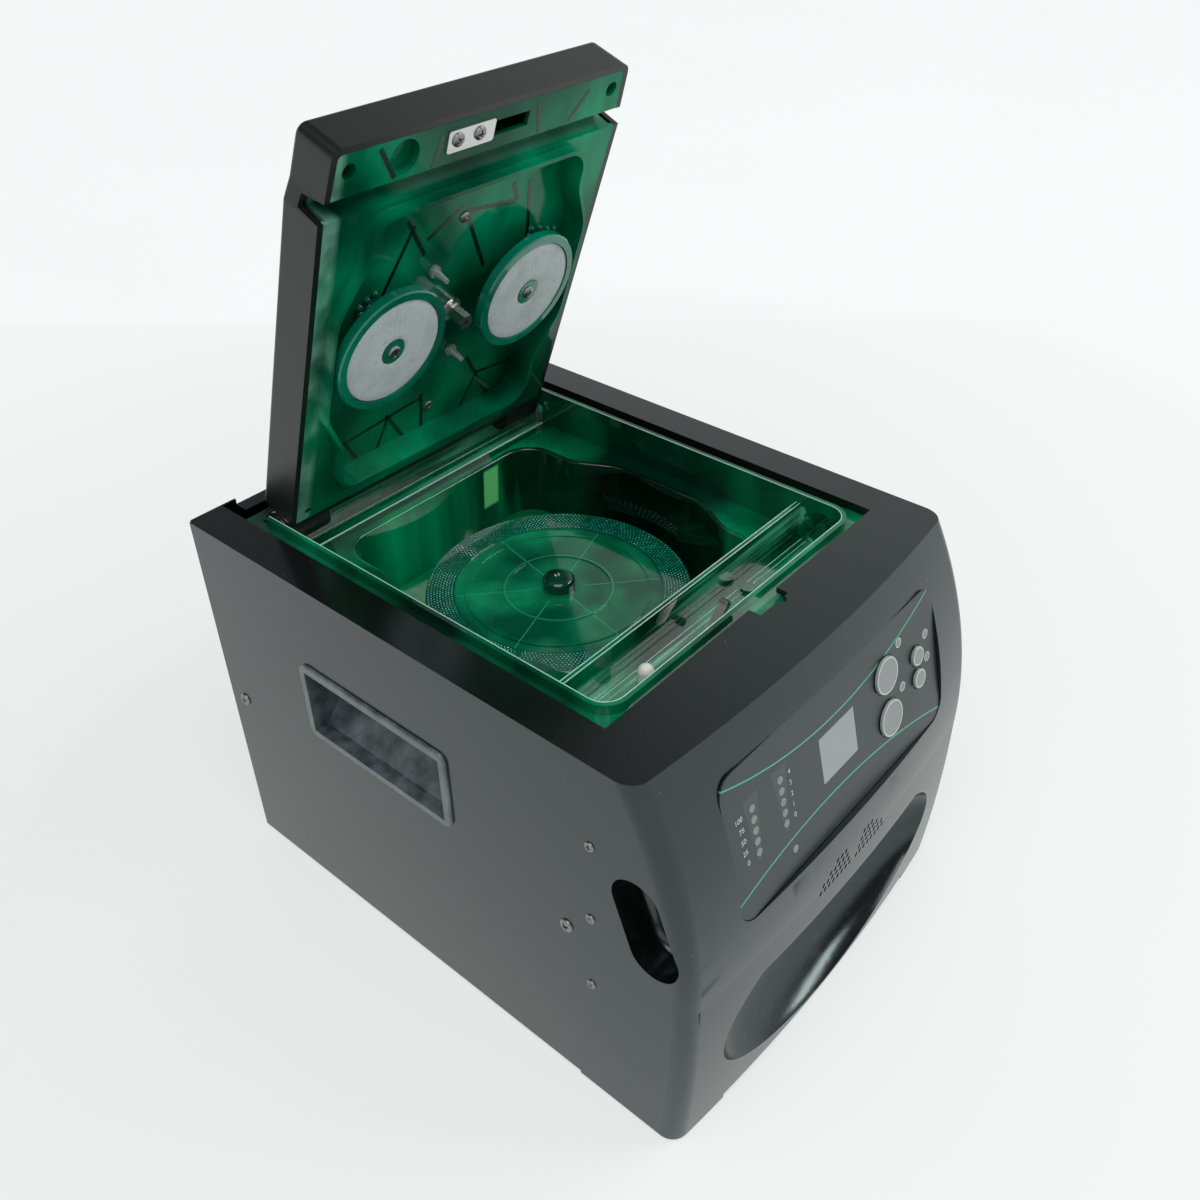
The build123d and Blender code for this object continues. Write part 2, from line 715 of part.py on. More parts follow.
# ---------------------------------------------------------------- splash tray and bowl
def bowl_outline(grow):
    """The bowl's plan: a rounded opening that bulges at both sides round the polishing pads."""
    narrow, wide = bowl_half_w + grow, bowl_half_w + lobe_reach + grow
    front, rear = bowl_front_y - grow, bowl_rear_y + grow
    right = [(narrow, front), (narrow, platter_y - lobe_half_l), (wide, platter_y - lobe_half_l + lobe_slope),
             (wide, platter_y + lobe_half_l - lobe_slope), (narrow, platter_y + lobe_half_l), (narrow, rear)]
    with BuildSketch(mode=Mode.PRIVATE) as plan:
        with BuildLine():
            Polyline(*right, *[(-x, y) for x, y in right[::-1]], close=True)
        make_face()
        ends = plan.vertices().group_by(Axis.Y)[0] + plan.vertices().group_by(Axis.Y)[-1]
        fillet(ends, radius=bowl_corner_r + grow)
        bends = [p for p in plan.vertices() if abs(p.Y - platter_y) < lobe_half_l + 1]
        fillet(bends, radius=bowl_bend_r)
    return plan.sketch


def edges_near(piece, y, z, reach=0.01):
    """The piece's straight edges along X at about that depth and height."""
    return [e for e in piece.edges().filter_by(Axis.X)
            if abs(e.center().Y - y) < reach and abs(e.center().Z - z) < 0.01]


def rim_outline(grow, rear=0.0):
    middle = (rim_front_y + rim_rear_y + rear) / 2
    with BuildSketch(mode=Mode.PRIVATE) as plan:
        with Locations((0, middle)):
            RectangleRounded(2 * (rim_half_w + grow), rim_rear_y + rear - rim_front_y + 2 * grow, rim_corner_r + grow)
    return plan.sketch


def deep_outline(grow):
    """The plan of the bowl under its side pockets: straight sides, wider only round the platter."""
    with BuildSketch(mode=Mode.PRIVATE) as plan:
        with Locations((0, bowl_mid_y)):
            RectangleRounded(2 * (bowl_half_w + grow), bowl_rear_y - bowl_front_y + 2 * grow, bowl_corner_r + grow)
        with Locations((0, platter_y)):
            Circle(platter_r + platter_room + grow)
    return plan.sketch


hose_y = trough_front_y + 3.7
hose_r = 2.0
hose_bore_r = 1.2
seal_boss_r = 7.0
seal_bore_r = 4.5
ear_places = [(-14, platter_y - 15), (14, platter_y + 15)]
drain_place = (44.0, bowl_rear_y - 32.0)
lever_slot = (-9.5, 4.6)
with BuildPart() as splash_tray:
    extrude(Plane.XY.offset(ledge_z - tray_wall) * rim_outline(0), amount=rim_top_z - ledge_z + tray_wall)
    extrude(Plane.XY.offset(ledge_z) * rim_outline(-tray_wall), amount=30, mode=Mode.SUBTRACT)
    box_at(-100, 100, rim_rear_y - 12, rim_rear_y + 10, rim_top_z - 5, rim_top_z + 5, mode=Mode.SUBTRACT)
    extrude(Plane.XY.offset(channel_z - tray_wall) * rim_outline(0), amount=tray_wall * 2)
    box_at(-100, 100, divider_y + 3, rim_rear_y + 1, channel_z - tray_wall - 1, ledge_z - tray_wall,
           mode=Mode.SUBTRACT)
    channel_half = rim_half_w - tray_wall
    box_at(-channel_half, channel_half, trough_front_y - tray_wall, rim_rear_y - 4, channel_z - tray_wall,
           ledge_z - tray_wall)
    extrude(Plane.XY.offset(flange_z) * (rim_outline(12) - rim_outline(-0.5)), amount=2.0)
    box_at(-120, 120, rim_rear_y, rim_rear_y + 20, flange_z - 1, flange_z + 3, mode=Mode.SUBTRACT)
    with BuildSketch(Plane.XY.offset(channel_z)) as channel_area:
        with Locations((0, (rim_front_y + tray_wall + divider_y - divider_t / 2) / 2)):
            Rectangle(2 * channel_half, divider_y - divider_t / 2 - rim_front_y - tray_wall)
    extrude(channel_area.sketch & rim_outline(-tray_wall).moved(Location((0, 0, channel_z))), amount=20,
            mode=Mode.SUBTRACT)
    box_at(-channel_half, channel_half, trough_front_y, rim_rear_y - 6, channel_z, rim_top_z + 3, mode=Mode.SUBTRACT)
    box_at(-channel_half - 1, channel_half + 1, divider_y - divider_t / 2, divider_y + divider_t / 2,
           channel_z - 1, divider_top_z)
    extrude(Plane.XY.offset(ledge_z - tray_wall - 1) * bowl_outline(tray_wall), amount=tray_wall + 2,
            mode=Mode.SUBTRACT)
    for x, drop in hose_rises:
        upright(x, hose_y, hose_bore_r, channel_z - 5, channel_z + 1, mode=Mode.SUBTRACT)
    upright(34, divider_y - 7, 3.3, channel_z - 0.5, channel_z + 1.6)
    upright(plunger_x, lock_y, plunger_r + 0.4, channel_z - 19, channel_z + 3, mode=Mode.SUBTRACT)
    box_at(lever_slot[0], lever_slot[1], lock_y - 3, lock_y + 3, channel_z - 19, channel_z + 3, mode=Mode.SUBTRACT)
    fillet(edges_near(splash_tray, divider_y, divider_top_z, divider_t), radius=0.9)
    fillet(edges_near(splash_tray, trough_front_y, ledge_z), radius=1.6)
save(splash_tray, "splash_tray")

with BuildPart() as tray_bowl:
    extrude(Plane.XY.offset(ledge_z - lobe_depth - tray_wall) * bowl_outline(tray_wall),
            amount=lobe_depth + tray_wall)
    extrude(Plane.XY.offset(bowl_floor_z - tray_wall) * deep_outline(tray_wall),
            amount=ledge_z - bowl_floor_z - lobe_depth)
    extrude(Plane.XY.offset(ledge_z - lobe_depth) * bowl_outline(0), amount=lobe_depth + 1, mode=Mode.SUBTRACT)
    extrude(Plane.XY.offset(bowl_floor_z) * deep_outline(0), amount=ledge_z - bowl_floor_z, mode=Mode.SUBTRACT)
    upright(0, platter_y, seal_boss_r, bowl_floor_z - tray_wall, platter_z - 3)
    for x, y in ear_places:
        upright(x, y, 3.5, bowl_floor_z - tray_wall, bowl_floor_z + 4)
        upright(x, y, 1.4, bowl_floor_z - 1, bowl_floor_z + 6, mode=Mode.SUBTRACT)
    upright(0, platter_y, seal_bore_r, bowl_floor_z - 14, platter_z, mode=Mode.SUBTRACT)
    upright(*drain_place, 2.6, bowl_floor_z - 14, bowl_floor_z + 6, mode=Mode.SUBTRACT)
    brim = tray_bowl.faces().sort_by(Axis.Z)[-1]
    fillet(brim.inner_wires()[0].edges(), radius=1.0)
save(tray_bowl, "tray_bowl")

# ---------------------------------------------------------------- platter on its spindle
platter_ring_in = platter_r - platter_ring_w
outer_bead_r = platter_ring_in - 5.5
inner_bead_r = 24.3
bead_half_w = 0.7
rib_in_r = 10.25
rib_out_r = platter_ring_in + 0.75


def bead(r):
    """The outline of a low ring on the platter's face, from its outer side inwards."""
    low, high = platter_top_z - 0.8, platter_top_z - 0.3
    return [(r + bead_half_w, low), (r + bead_half_w, high), (r - bead_half_w, high), (r - bead_half_w, low)]


with BuildPart() as platter:
    with BuildSketch(Plane.XZ):
        with BuildLine():
            Polyline(
                (seal_bore_r, platter_z), (platter_r - 0.8, platter_z), (platter_r, platter_z + 0.8),
                (platter_r, platter_top_z - 0.5), (platter_r - 0.5, platter_top_z), (platter_ring_in, platter_top_z),
                (platter_ring_in, platter_top_z - 0.8),
                *bead(outer_bead_r), *bead(inner_bead_r),
                (8.0, platter_top_z - 0.8), (8.0, platter_top_z), (seal_bore_r, platter_top_z), close=True,
            )
        make_face()
    revolve(axis=Axis.Z)
    with BuildSketch(Plane.XY.offset(platter_z - 13)):
        Circle(10.5)
        Circle(8.4, mode=Mode.SUBTRACT)
    extrude(amount=13.2)
    with BuildSketch(Plane.XY.offset(platter_z - 4)):
        with PolarLocations(0, 6, start_angle=18):
            with Locations(((rib_in_r + rib_out_r) / 2, 0)):
                Rectangle(rib_out_r - rib_in_r, 1.2)
    extrude(amount=4.1)
platter.part = platter.part.moved(Location((0, platter_y, 0)))
save(platter, "platter")

with BuildPart() as hub_cap:
    with BuildSketch(Plane.XZ):
        with BuildLine():
            Polyline((0, platter_top_z), (hub_r, platter_top_z), (hub_r, hub_top_z - 2.5))
            RadiusArc((hub_r, hub_top_z - 2.5), (hub_r - 2.5, hub_top_z), -2.5)
            Polyline((hub_r - 2.5, hub_top_z), (2.2, hub_top_z), (1.2, hub_top_z - 0.8), (0, hub_top_z - 0.8),
                     (0, platter_top_z))
        make_face()
    revolve(axis=Axis.Z)
    upright(0, 0, spindle_r, platter_top_z - 1, platter_top_z + 2.0, mode=Mode.SUBTRACT)
hub_cap.part = hub_cap.part.moved(Location((0, platter_y, 0)))
save(hub_cap, "hub_cap")

carriage_z = platter_z - 52.5
pulley_z = carriage_z + 6.0
pulley_h = 6.0

belt_t = 1.2
belt_gap = 0.3
spin_pulley_r = 18.0
motor_pulley_r = 6.0
motor_y = platter_y + 44.0


def pulley(x, y, r, bore):
    with BuildPart() as wheel:
        upright(x, y, r, pulley_z + 1, pulley_z + pulley_h - 1)
        upright(x, y, r + 2, pulley_z, pulley_z + 0.6)
        upright(x, y, r + 2, pulley_z + pulley_h - 0.6, pulley_z + pulley_h)
        upright(x, y, r, pulley_z, pulley_z + pulley_h)
        upright(x, y, bore, pulley_z - 1, pulley_z + pulley_h + 1, mode=Mode.SUBTRACT)
    return wheel.part


with BuildPart() as spindle:
    upright(0, platter_y, spindle_r, carriage_z - 11, platter_top_z + 2.0)
    upright(0, platter_y, seal_bore_r, platter_z, platter_top_z - 0.2)
    add(pulley(0, platter_y, spin_pulley_r, spindle_r - 0.5))
save(spindle, "spindle")

with BuildPart() as motor_pulley:
    add(pulley(0, motor_y, motor_pulley_r, 1.0))
    upright(0, motor_y, 1.5, carriage_z - 6, pulley_z + pulley_h)
save(motor_pulley, "motor_pulley")


# ---------------------------------------------------------------- lift that raises the platter
rod_x = 34.0
rod_r = 3.0
plunger_rod_r = 4.0
actuator_top = 44.0
actuator_neck = 60.0
actuator_floor = 34.0
with BuildPart() as lift_carriage:
    with BuildSketch(Plane.XY.offset(carriage_z)):
        with Locations((0, platter_y)):
            RectangleRounded(2 * rod_x + 16, 34, 8)
        with Locations((0, (platter_y + motor_y) / 2 + 6)):
            RectangleRounded(34, motor_y - platter_y + 22, 6)
    extrude(amount=3)
    upright(0, platter_y, 11, carriage_z - 14, carriage_z + 1)
    for x in (-rod_x, rod_x):
        upright(x, platter_y, 6.5, carriage_z - 10, carriage_z + 10)
        upright(x, platter_y, rod_r + run_gap, carriage_z - 18, carriage_z + 14, mode=Mode.SUBTRACT)
    upright(0, platter_y, spindle_r + run_gap, carriage_z - 11.5, carriage_z + 12, mode=Mode.SUBTRACT)
    upright(0, motor_y, 4.0, carriage_z - 8, carriage_z + 12, mode=Mode.SUBTRACT)
    upright(0, platter_y, plunger_rod_r, actuator_floor + 2, carriage_z - 13.5)
save(lift_carriage, "lift_carriage")

with BuildPart() as platter_motor:
    upright(0, motor_y, 14, carriage_z - 36, carriage_z)
    upright(0, motor_y, 3.8, carriage_z - 37, carriage_z + 2.5)
    upright(0, motor_y, 1.5 + run_gap, carriage_z - 6.5, carriage_z + 4, mode=Mode.SUBTRACT)
save(platter_motor, "platter_motor")

with BuildPart() as drive_belt:
    with BuildSketch(Plane.XY.offset(pulley_z + 1.2)):
        for grow, mode in ((belt_gap + belt_t, Mode.ADD), (belt_gap, Mode.SUBTRACT)):
            r1, r2 = spin_pulley_r + grow, motor_pulley_r + grow
            with BuildSketch(mode=Mode.PRIVATE) as loop:
                with Locations((0, platter_y)):
                    Circle(r1)
                with Locations((0, motor_y)):
                    Circle(r2)
                make_hull()
            add(loop.sketch, mode=mode)
    extrude(amount=pulley_h - 2.4)
save(drive_belt, "drive_belt")

with BuildPart() as guide_rods:
    for x in (-rod_x, rod_x):
        upright(x, platter_y, rod_r, pan_top_z, bowl_floor_z - tray_wall)
        upright(x, platter_y, 8, pan_top_z, pan_top_z + 6)
save(guide_rods, "guide_rods")

with BuildPart() as lift_actuator:
    box_at(-16, 16, platter_y - 16, platter_y + 16, pan_top_z, actuator_top)
    upright(0, platter_y, 11, actuator_top, actuator_neck)
    upright(0, platter_y, plunger_rod_r + run_gap, actuator_floor, actuator_neck + 2, mode=Mode.SUBTRACT)
save(lift_actuator, "lift_actuator")

# ---------------------------------------------------------------- lid
def lid_outline(grow):
    """The closed lid's plan, whose lip narrows a little towards the front."""
    w, tip, front, rear = lid_half_w + grow, lid_tip_half_w + grow, lid_front_y - grow, lid_rear_y + grow
    with BuildSketch(mode=Mode.PRIVATE) as plan:
        with BuildLine():
            Polyline((-w, rear), (w, rear), (w, groove_rear_y), (w - 2, groove_front_y), (tip, front), (-tip, front),
                     (-w + 2, groove_front_y), (-w, groove_rear_y), close=True)
        make_face()
        fillet(plan.vertices().group_by(Axis.Y)[0], radius=4.5 + grow)
        fillet(plan.vertices().group_by(Axis.Y)[-1], radius=3.5 + grow)
    return plan.sketch


def groove_section(grow, low):
    return [(groove_front_y - grow, low), (groove_front_y + 2 - grow, groove_top_z + grow),
            (groove_rear_y - 1 + grow, groove_top_z + grow), (groove_rear_y + grow, low)]


lip_hole_x = lid_tip_half_w - 7.8
lip_holes = [(-lip_hole_x, lock_y - 1.1), (lip_hole_x, lock_y - 1.1)]
catch_hole = (0.8, 19.5, lock_y - 3.1, lock_y + 2.9)
recess_r = 6.75
shaft_collar_r = 5.8
nozzle_places = [(-9.0, platter_y - 19.5), (10.4, platter_y + 29.3)]
liner_screw_places = [(3.0, bowl_front_y + 25.4), (3.0, bowl_rear_y - 15.6)]
rib_lines = [(-52, -51.4, 20, -17.4), (52, -51.4, -20, -17.4), (-20, -61.4, 18, -35.4), (24, -61.4, -12, -31.4),
             (-52, 50.6, -18, 18.6), (52, 50.6, 16, 22.6), (-30, 70.6, 6, 40.6), (30, 70.6, -6, 40.6),
             (0, 64.6, 0, 38.6)]
lip_rib_places = (-52.0, -33.0, -3.0, 27.0, 50.0)
with BuildPart() as lid_shell:
    extrude(lid_plane(lid_inner_z) * lid_outline(0), amount=lid_t)
    crown = lid_shell.edges().filter_by(lambda e: abs(
        (e.center().Y - lid_point(0, lid_outer_z)[0]) * sin(radians(open_angle))
        + (e.center().Z - lid_point(0, lid_outer_z)[1]) * cos(radians(open_angle))) < 0.01)
    fillet(crown, radius=2.0)
    extrude(lid_plane(lid_inner_z - 1) * lid_outline(-lid_wall), amount=shell_inner_z - lid_inner_z + 1,
            mode=Mode.SUBTRACT)
    with BuildSketch(lid_side_plane(0)):
        with BuildLine():
            Polyline(*groove_section(0, lid_inner_z - 1), close=True)
        make_face()
    extrude(amount=lid_half_w + 5, both=True, mode=Mode.SUBTRACT)
    for x0, y0, x1, y1 in rib_lines:
        with BuildSketch(lid_plane(liner_floor_z + liner_t + 0.1)):
            with BuildLine():
                Line((x0, platter_y + y0), (x1, platter_y + y1))
            trace(line_width=rib_t)
        extrude(amount=shell_inner_z - liner_floor_z - liner_t)
    for x in lip_rib_places:
        lid_box(x - rib_t / 2, x + rib_t / 2, lid_front_y + lid_wall - 0.5, groove_front_y - 3.8,
                lid_inner_z + liner_t + 0.2 + (6 if x == -33 else 0), shell_inner_z + 0.5)
    for x, y, r in [(-pad_x, platter_y, 8), (pad_x, platter_y, 8), (0, platter_y, 8)] \
            + [(x, y, 3.5) for x, y in nozzle_places + liner_screw_places]:
        lid_round(x, y, r, lid_inner_z, shell_inner_z, mode=Mode.SUBTRACT)
    for side in SIDES.values():
        with BuildSketch(Plane.YZ.offset(side * lid_half_w)):
            with Locations((hinge_y, hinge_z)):
                Circle(barrel_r)
        extrude(amount=-side * knuckle_l)
    with BuildSketch(Plane.YZ):
        with Locations((hinge_y, hinge_z)):
            Circle(hinge_pin_r + run_gap)
    extrude(amount=lid_half_w + 5, both=True, mode=Mode.SUBTRACT)
save(lid_shell, "lid_shell")

liner_edge = 0.1
ring_out = bowl_outline(-1.5)
ring_in = bowl_outline(-3.5)
liner_half = lid_half_w - lid_wall - liner_edge
with BuildPart() as lid_liner:
    with BuildSketch(lid_plane(lid_inner_z)):
        add(lid_outline(-lid_wall - liner_edge))
        with Locations((0, groove_rear_y - 50)):
            Rectangle(200, 100, mode=Mode.SUBTRACT)
    extrude(amount=liner_t)
    with BuildSketch(lid_plane(lid_inner_z)):
        add(lid_outline(-lid_wall - liner_edge))
        with Locations((0, 30 + groove_front_y)):
            Rectangle(200, 60, mode=Mode.SUBTRACT)
        with Locations((0, 100)):
            Rectangle(200, 200, mode=Mode.SUBTRACT)
    extrude(amount=liner_t)
    with BuildSketch(lid_side_plane(-liner_half + 2)):
        with BuildLine():
            Polyline(*(groove_section(liner_t, lid_inner_z) + groove_section(0, lid_inner_z)[::-1]), close=True)
        make_face()
    extrude(amount=2 * liner_half - 4)
    extrude(lid_plane(lid_inner_z - 1) * ring_out, amount=liner_t + 2, mode=Mode.SUBTRACT)
    extrude(lid_plane(lid_inner_z - rim_drop) * (ring_out - ring_in), amount=rim_drop + liner_floor_rise + liner_t)
    extrude(lid_plane(liner_floor_z) * ring_out, amount=liner_t)
    for x in (-pad_x, pad_x):
        lid_round(x, platter_y, 6, liner_floor_z, liner_floor_z + 5.6)
        lid_round(x, platter_y, pad_stem_r + run_gap, lid_inner_z, lid_outer_z, mode=Mode.SUBTRACT)
    lid_round(0, platter_y, shaft_collar_r, lid_inner_z, lid_outer_z, mode=Mode.SUBTRACT)
    for x, y in nozzle_places:
        lid_round(x, y, 1.9, lid_inner_z, lid_outer_z, mode=Mode.SUBTRACT)
    for x, y in liner_screw_places:
        lid_round(x, y, 1.3, lid_inner_z, lid_outer_z, mode=Mode.SUBTRACT)
    for x, y in lip_holes:
        lid_round(x, y, 4.6, lid_inner_z, lid_inner_z + 6)
        lid_round(x, y, 3.0, lid_inner_z - 1, lid_inner_z + 5, mode=Mode.SUBTRACT)
    lid_round(8.5 - lid_half_w, lid_rear_y - 6.9, 2.0, lid_inner_z - 1, lid_inner_z + 3, mode=Mode.SUBTRACT)
    lid_round(plunger_x, lock_y, recess_r + 1.2, lid_inner_z, lid_inner_z + 5.2)
    lid_round(plunger_x, lock_y, recess_r, lid_inner_z - 1, lid_inner_z + 4, mode=Mode.SUBTRACT)
    lid_box(catch_hole[0], catch_hole[1], catch_hole[2], catch_hole[3], lid_inner_z - 1, lid_inner_z + 4,
            mode=Mode.SUBTRACT)
    for x in (-17.9, -7.1):
        lid_round(x, lock_y - 0.9, 1.2, lid_inner_z - 1, lid_inner_z + 4, mode=Mode.SUBTRACT)
save(lid_liner, "lid_liner")

with BuildPart() as strike_plate:
    with BuildSketch(lid_plane(lid_inner_z)):
        with Locations((-11.1, lock_y - 0.5)):
            RectangleRounded(23.4, 8.8, 1.2)
        with Locations((-17.9, lock_y - 0.9), (-7.1, lock_y - 0.9)):
            Circle(1.2, mode=Mode.SUBTRACT)
    extrude(amount=-0.8)
save(strike_plate, "strike_plate")


def facing_down(z, x, y):
    """A plane on the closed lid's inner face whose normal looks out of the lid's underside."""
    up = lid_plane(z, x, y)
    return Plane(origin=up.origin, x_dir=(1, 0, 0), z_dir=-up.z_dir)


with BuildPart() as lid_screws:
    for x in (-17.9, -7.1):
        add(screw(facing_down(lid_inner_z - 0.8, x, lock_y - 0.9), 2.6, 1.0, 1.1, 5.0, 0.6))
    for x, y in liner_screw_places:
        add(screw(facing_down(liner_floor_z, x, y), 2.4, 1.0, 1.2, 4.5, 0.6))
save(lid_screws, "lid_screws")

with BuildPart() as spray_nozzles:
    for x, y in nozzle_places:
        with Locations(lid_plane(liner_floor_z, x, y)):
            Cylinder(2.8, 1.2, align=(Align.CENTER, Align.CENTER, Align.MAX))
        with Locations(lid_plane(liner_floor_z - 8.0, x, y)):
            Cone(1.0, 1.8, 6.9, align=(Align.CENTER, Align.CENTER, Align.MIN))
        lid_round(x, y, 1.8, liner_floor_z - 0.1, liner_floor_z + liner_t + 2.5)
        lid_round(x, y, 0.6, liner_floor_z - 9, liner_floor_z + liner_t + 3, mode=Mode.SUBTRACT)
save(spray_nozzles, "spray_nozzles")

sleeve_r = 4.7
with BuildPart() as shaft_collar:
    lid_round(0, platter_y, shaft_collar_r - 0.05, lid_inner_z + 2.5, lid_inner_z + 13)
    lid_round(0, platter_y, shaft_collar_r + 1.2, liner_floor_z + liner_t, liner_floor_z + liner_t + 1.2)
    lid_round(0, platter_y, sleeve_r + run_gap, lid_inner_z + 1, lid_inner_z + 14, mode=Mode.SUBTRACT)
save(shaft_collar, "shaft_collar")

with BuildPart() as clamp_sleeve:
    lid_round(0, platter_y, sleeve_r, lid_inner_z + 3, lid_inner_z + 9.5)
    lid_round(0, platter_y, 3.0 + run_gap, lid_inner_z + 1, lid_inner_z + 13, mode=Mode.SUBTRACT)
save(clamp_sleeve, "clamp_sleeve")

with BuildPart() as clamp_shaft:
    with BuildSketch(lid_plane(clamp_tip_z, 0, platter_y)):
        RegularPolygon(clamp_r, 6)
        Circle(1.0, mode=Mode.SUBTRACT)
    extrude(amount=9.5)
    lid_round(0, platter_y, 3.0, clamp_tip_z + 6, lid_inner_z + 10.1)
    lid_round(0, platter_y, 3.6, lid_inner_z + 9.8, lid_inner_z + 10.3)
save(clamp_shaft, "clamp_shaft")

for side_name, side in SIDES.items():
    x = side * pad_x
    with BuildPart() as pad_holder:
        lid_round(x, platter_y, pad_holder_r, pad_face_z - 0.3, pad_face_z - 0.3 + pad_holder_t)
        rims = [e for e in pad_holder.edges().filter_by(GeomType.CIRCLE) if e.radius > 20]
        chamfer(rims, length=0.6)
        lid_round(x, platter_y, pad_r + 0.2, pad_face_z - 1, pad_face_z + pad_t, mode=Mode.SUBTRACT)
        lid_round(x, platter_y, pad_hub_r, pad_face_z, pad_face_z + pad_t)
        lid_round(x, platter_y, 5.0, pad_face_z + 4, pad_face_z + 12.3)
        lid_round(x, platter_y, pad_stem_r, pad_face_z + 4, pad_face_z + 20.1)
        lid_round(x, platter_y, 4.0, pad_face_z + 18.8, pad_face_z + 19.7)
        lid_round(x, platter_y, 1.3, pad_face_z - 1, pad_face_z + 6, mode=Mode.SUBTRACT)
    save(pad_holder, "pad_holder_" + side_name)
    with BuildPart() as polishing_pad:
        lid_round(x, platter_y, pad_r, pad_face_z, pad_face_z + pad_t)
        lid_round(x, platter_y, pad_hub_r + 0.1, pad_face_z - 1, pad_face_z + 3, mode=Mode.SUBTRACT)
    save(polishing_pad, "polishing_pad_" + side_name)
    screw_group("pad_screw_" + side_name, [facing_down(pad_face_z, x, platter_y)], 2.8, 1.0, 1.2, 5.0, 0.6)

# ---------------------------------------------------------------- hinge
arm_x = lid_half_w + 0.4
arm_t = 1.8
pin_reach = 14.0
with BuildPart() as hinge_bracket:
    for side in SIDES.values():
        with BuildSketch(Plane.YZ.offset(side * (arm_x + arm_t / 2))):
            with BuildLine():
                Polyline((hinge_y - 8, channel_z), (hinge_y + 6, channel_z), (hinge_y + 5, hinge_z),
                         (hinge_y - 5, hinge_z), close=True)
            make_face()
            with Locations((hinge_y, hinge_z)):
                Circle(5.5)
        extrude(amount=arm_t / 2, both=True)
        with BuildSketch(Plane.YZ.offset(side * (lid_half_w - pin_reach))):
            with Locations((hinge_y, hinge_z)):
                Circle(hinge_pin_r)
                Circle(1.6, mode=Mode.SUBTRACT)
        extrude(amount=side * (arm_x + arm_t + 0.1 - lid_half_w + pin_reach))
save(hinge_bracket, "hinge_bracket")

# ---------------------------------------------------------------- lid catch
with BuildPart() as lid_sensor_peg:
    upright(plunger_x, lock_y, plunger_r, plunger_top_z - 21.6, plunger_top_z - plunger_r + 0.5)
    with BuildSketch(Plane.XZ.offset(-lock_y)):
        with BuildLine():
            Line((plunger_x, plunger_top_z - plunger_r), (plunger_x + plunger_r, plunger_top_z - plunger_r))
            RadiusArc((plunger_x + plunger_r, plunger_top_z - plunger_r), (plunger_x, plunger_top_z), -plunger_r)
            Line((plunger_x, plunger_top_z), (plunger_x, plunger_top_z - plunger_r))
        make_face()
    revolve(axis=Axis((plunger_x, lock_y, 0), (0, 0, 1)))
    upright(plunger_x, lock_y, plunger_r + 1.4, plunger_top_z - 17.1, plunger_top_z - 15.6)
save(lid_sensor_peg, "lid_sensor_peg")

with BuildPart() as lock_lever:
    with BuildSketch(Plane.XZ.offset(-lock_y + lever_w / 2)):
        with BuildLine():
            Line((lever_pivot_x, lever_pivot_z), (lever_tip_x, lever_tip_z))
        trace(line_width=lever_t)
        with BuildLine():
            Line((lever_tip_x, lever_tip_z), (lever_tip_x - 2.2, lever_tip_z + 1.0))
        trace(line_width=1.4)
        with Locations((lever_pivot_x, lever_pivot_z)):
            Circle(3.2)
            Circle(1.5 + run_gap, mode=Mode.SUBTRACT)
    extrude(amount=-lever_w)
save(lock_lever, "lock_lever")

with BuildPart() as catch_modules:
    box_at(plunger_x - 8, plunger_x + 8, lock_y - 7, lock_y + 7, channel_z - 23, channel_z - tray_wall)
    upright(plunger_x, lock_y, 5.2, channel_z - 18, channel_z - 4, mode=Mode.SUBTRACT)
    upright(plunger_x, lock_y, plunger_r + 0.4, channel_z - 5, channel_z + 3, mode=Mode.SUBTRACT)
    box_at(-26, -16, lock_y - 7, lock_y + 7, channel_z - 17, channel_z - tray_wall)
    box_at(-16, -2, lock_y + 2.4, lock_y + 4.4, channel_z - 15, channel_z - tray_wall)
    box_at(-16, -2, lock_y - 4.4, lock_y - 2.4, channel_z - 15, channel_z - tray_wall)
    with BuildSketch(Plane.XZ.offset(-lock_y)):
        with Locations((lever_pivot_x, lever_pivot_z)):
            Circle(1.5)
    extrude(amount=3, both=True)
save(catch_modules, "catch_modules")

# ---------------------------------------------------------------- supplies, pumps and hoses
bottle_x = 33.0 - inner_x
bottle_places = [(bottle_x, -50.0), (bottle_x, -4.0)]
bottle_top = 84.0
with BuildPart() as supply_bottles:
    for x, y in bottle_places:
        with BuildSketch(Plane.XY.offset(pan_top_z)):
            with Locations((x, y)):
                RectangleRounded(40, 42, 7)
        extrude(amount=bottle_top - pan_top_z)
        upright(x, y, 9, bottle_top, bottle_top + 8)
save(supply_bottles, "supply_bottles")

with BuildPart() as bottle_caps:
    for x, y in bottle_places:
        upright(x, y, 12, bottle_top + 1, bottle_top + 12)
        upright(x, y, 9, bottle_top, bottle_top + 8, mode=Mode.SUBTRACT)
save(bottle_caps, "bottle_caps")

pump_x = 27.0 - inner_x
pump_places = [(pump_x, 48.0), (pump_x, 84.0)]
pump_top = 44.0
with BuildPart() as pumps:
    for x, y in pump_places:
        upright(x, y, 13, pan_top_z, pump_top)
        upright(x, y, 9, pump_top, pump_top + 6)
save(pumps, "pumps")

supply_top = 46.0
fitting_lean = 17.0
fitting_half = 12.1


def fitting_plane(x, drop, along):
    """A plane across the leaning hose fitting under a hose's rise, that far up its axis from its middle."""
    a = radians(fitting_lean)
    reach = along - fitting_half - 3
    return Plane(origin=(x - reach * sin(a), hose_y, top_z - drop + reach * cos(a)), x_dir=(cos(a), 0, sin(a)),
                 z_dir=(-sin(a), 0, cos(a)))


def tube_on(plane, outer, inner):
    """The ring section that a hose is swept from."""
    with BuildSketch(plane, mode=Mode.PRIVATE) as ring:
        Circle(outer)
        Circle(inner, mode=Mode.SUBTRACT)
    return ring.sketch


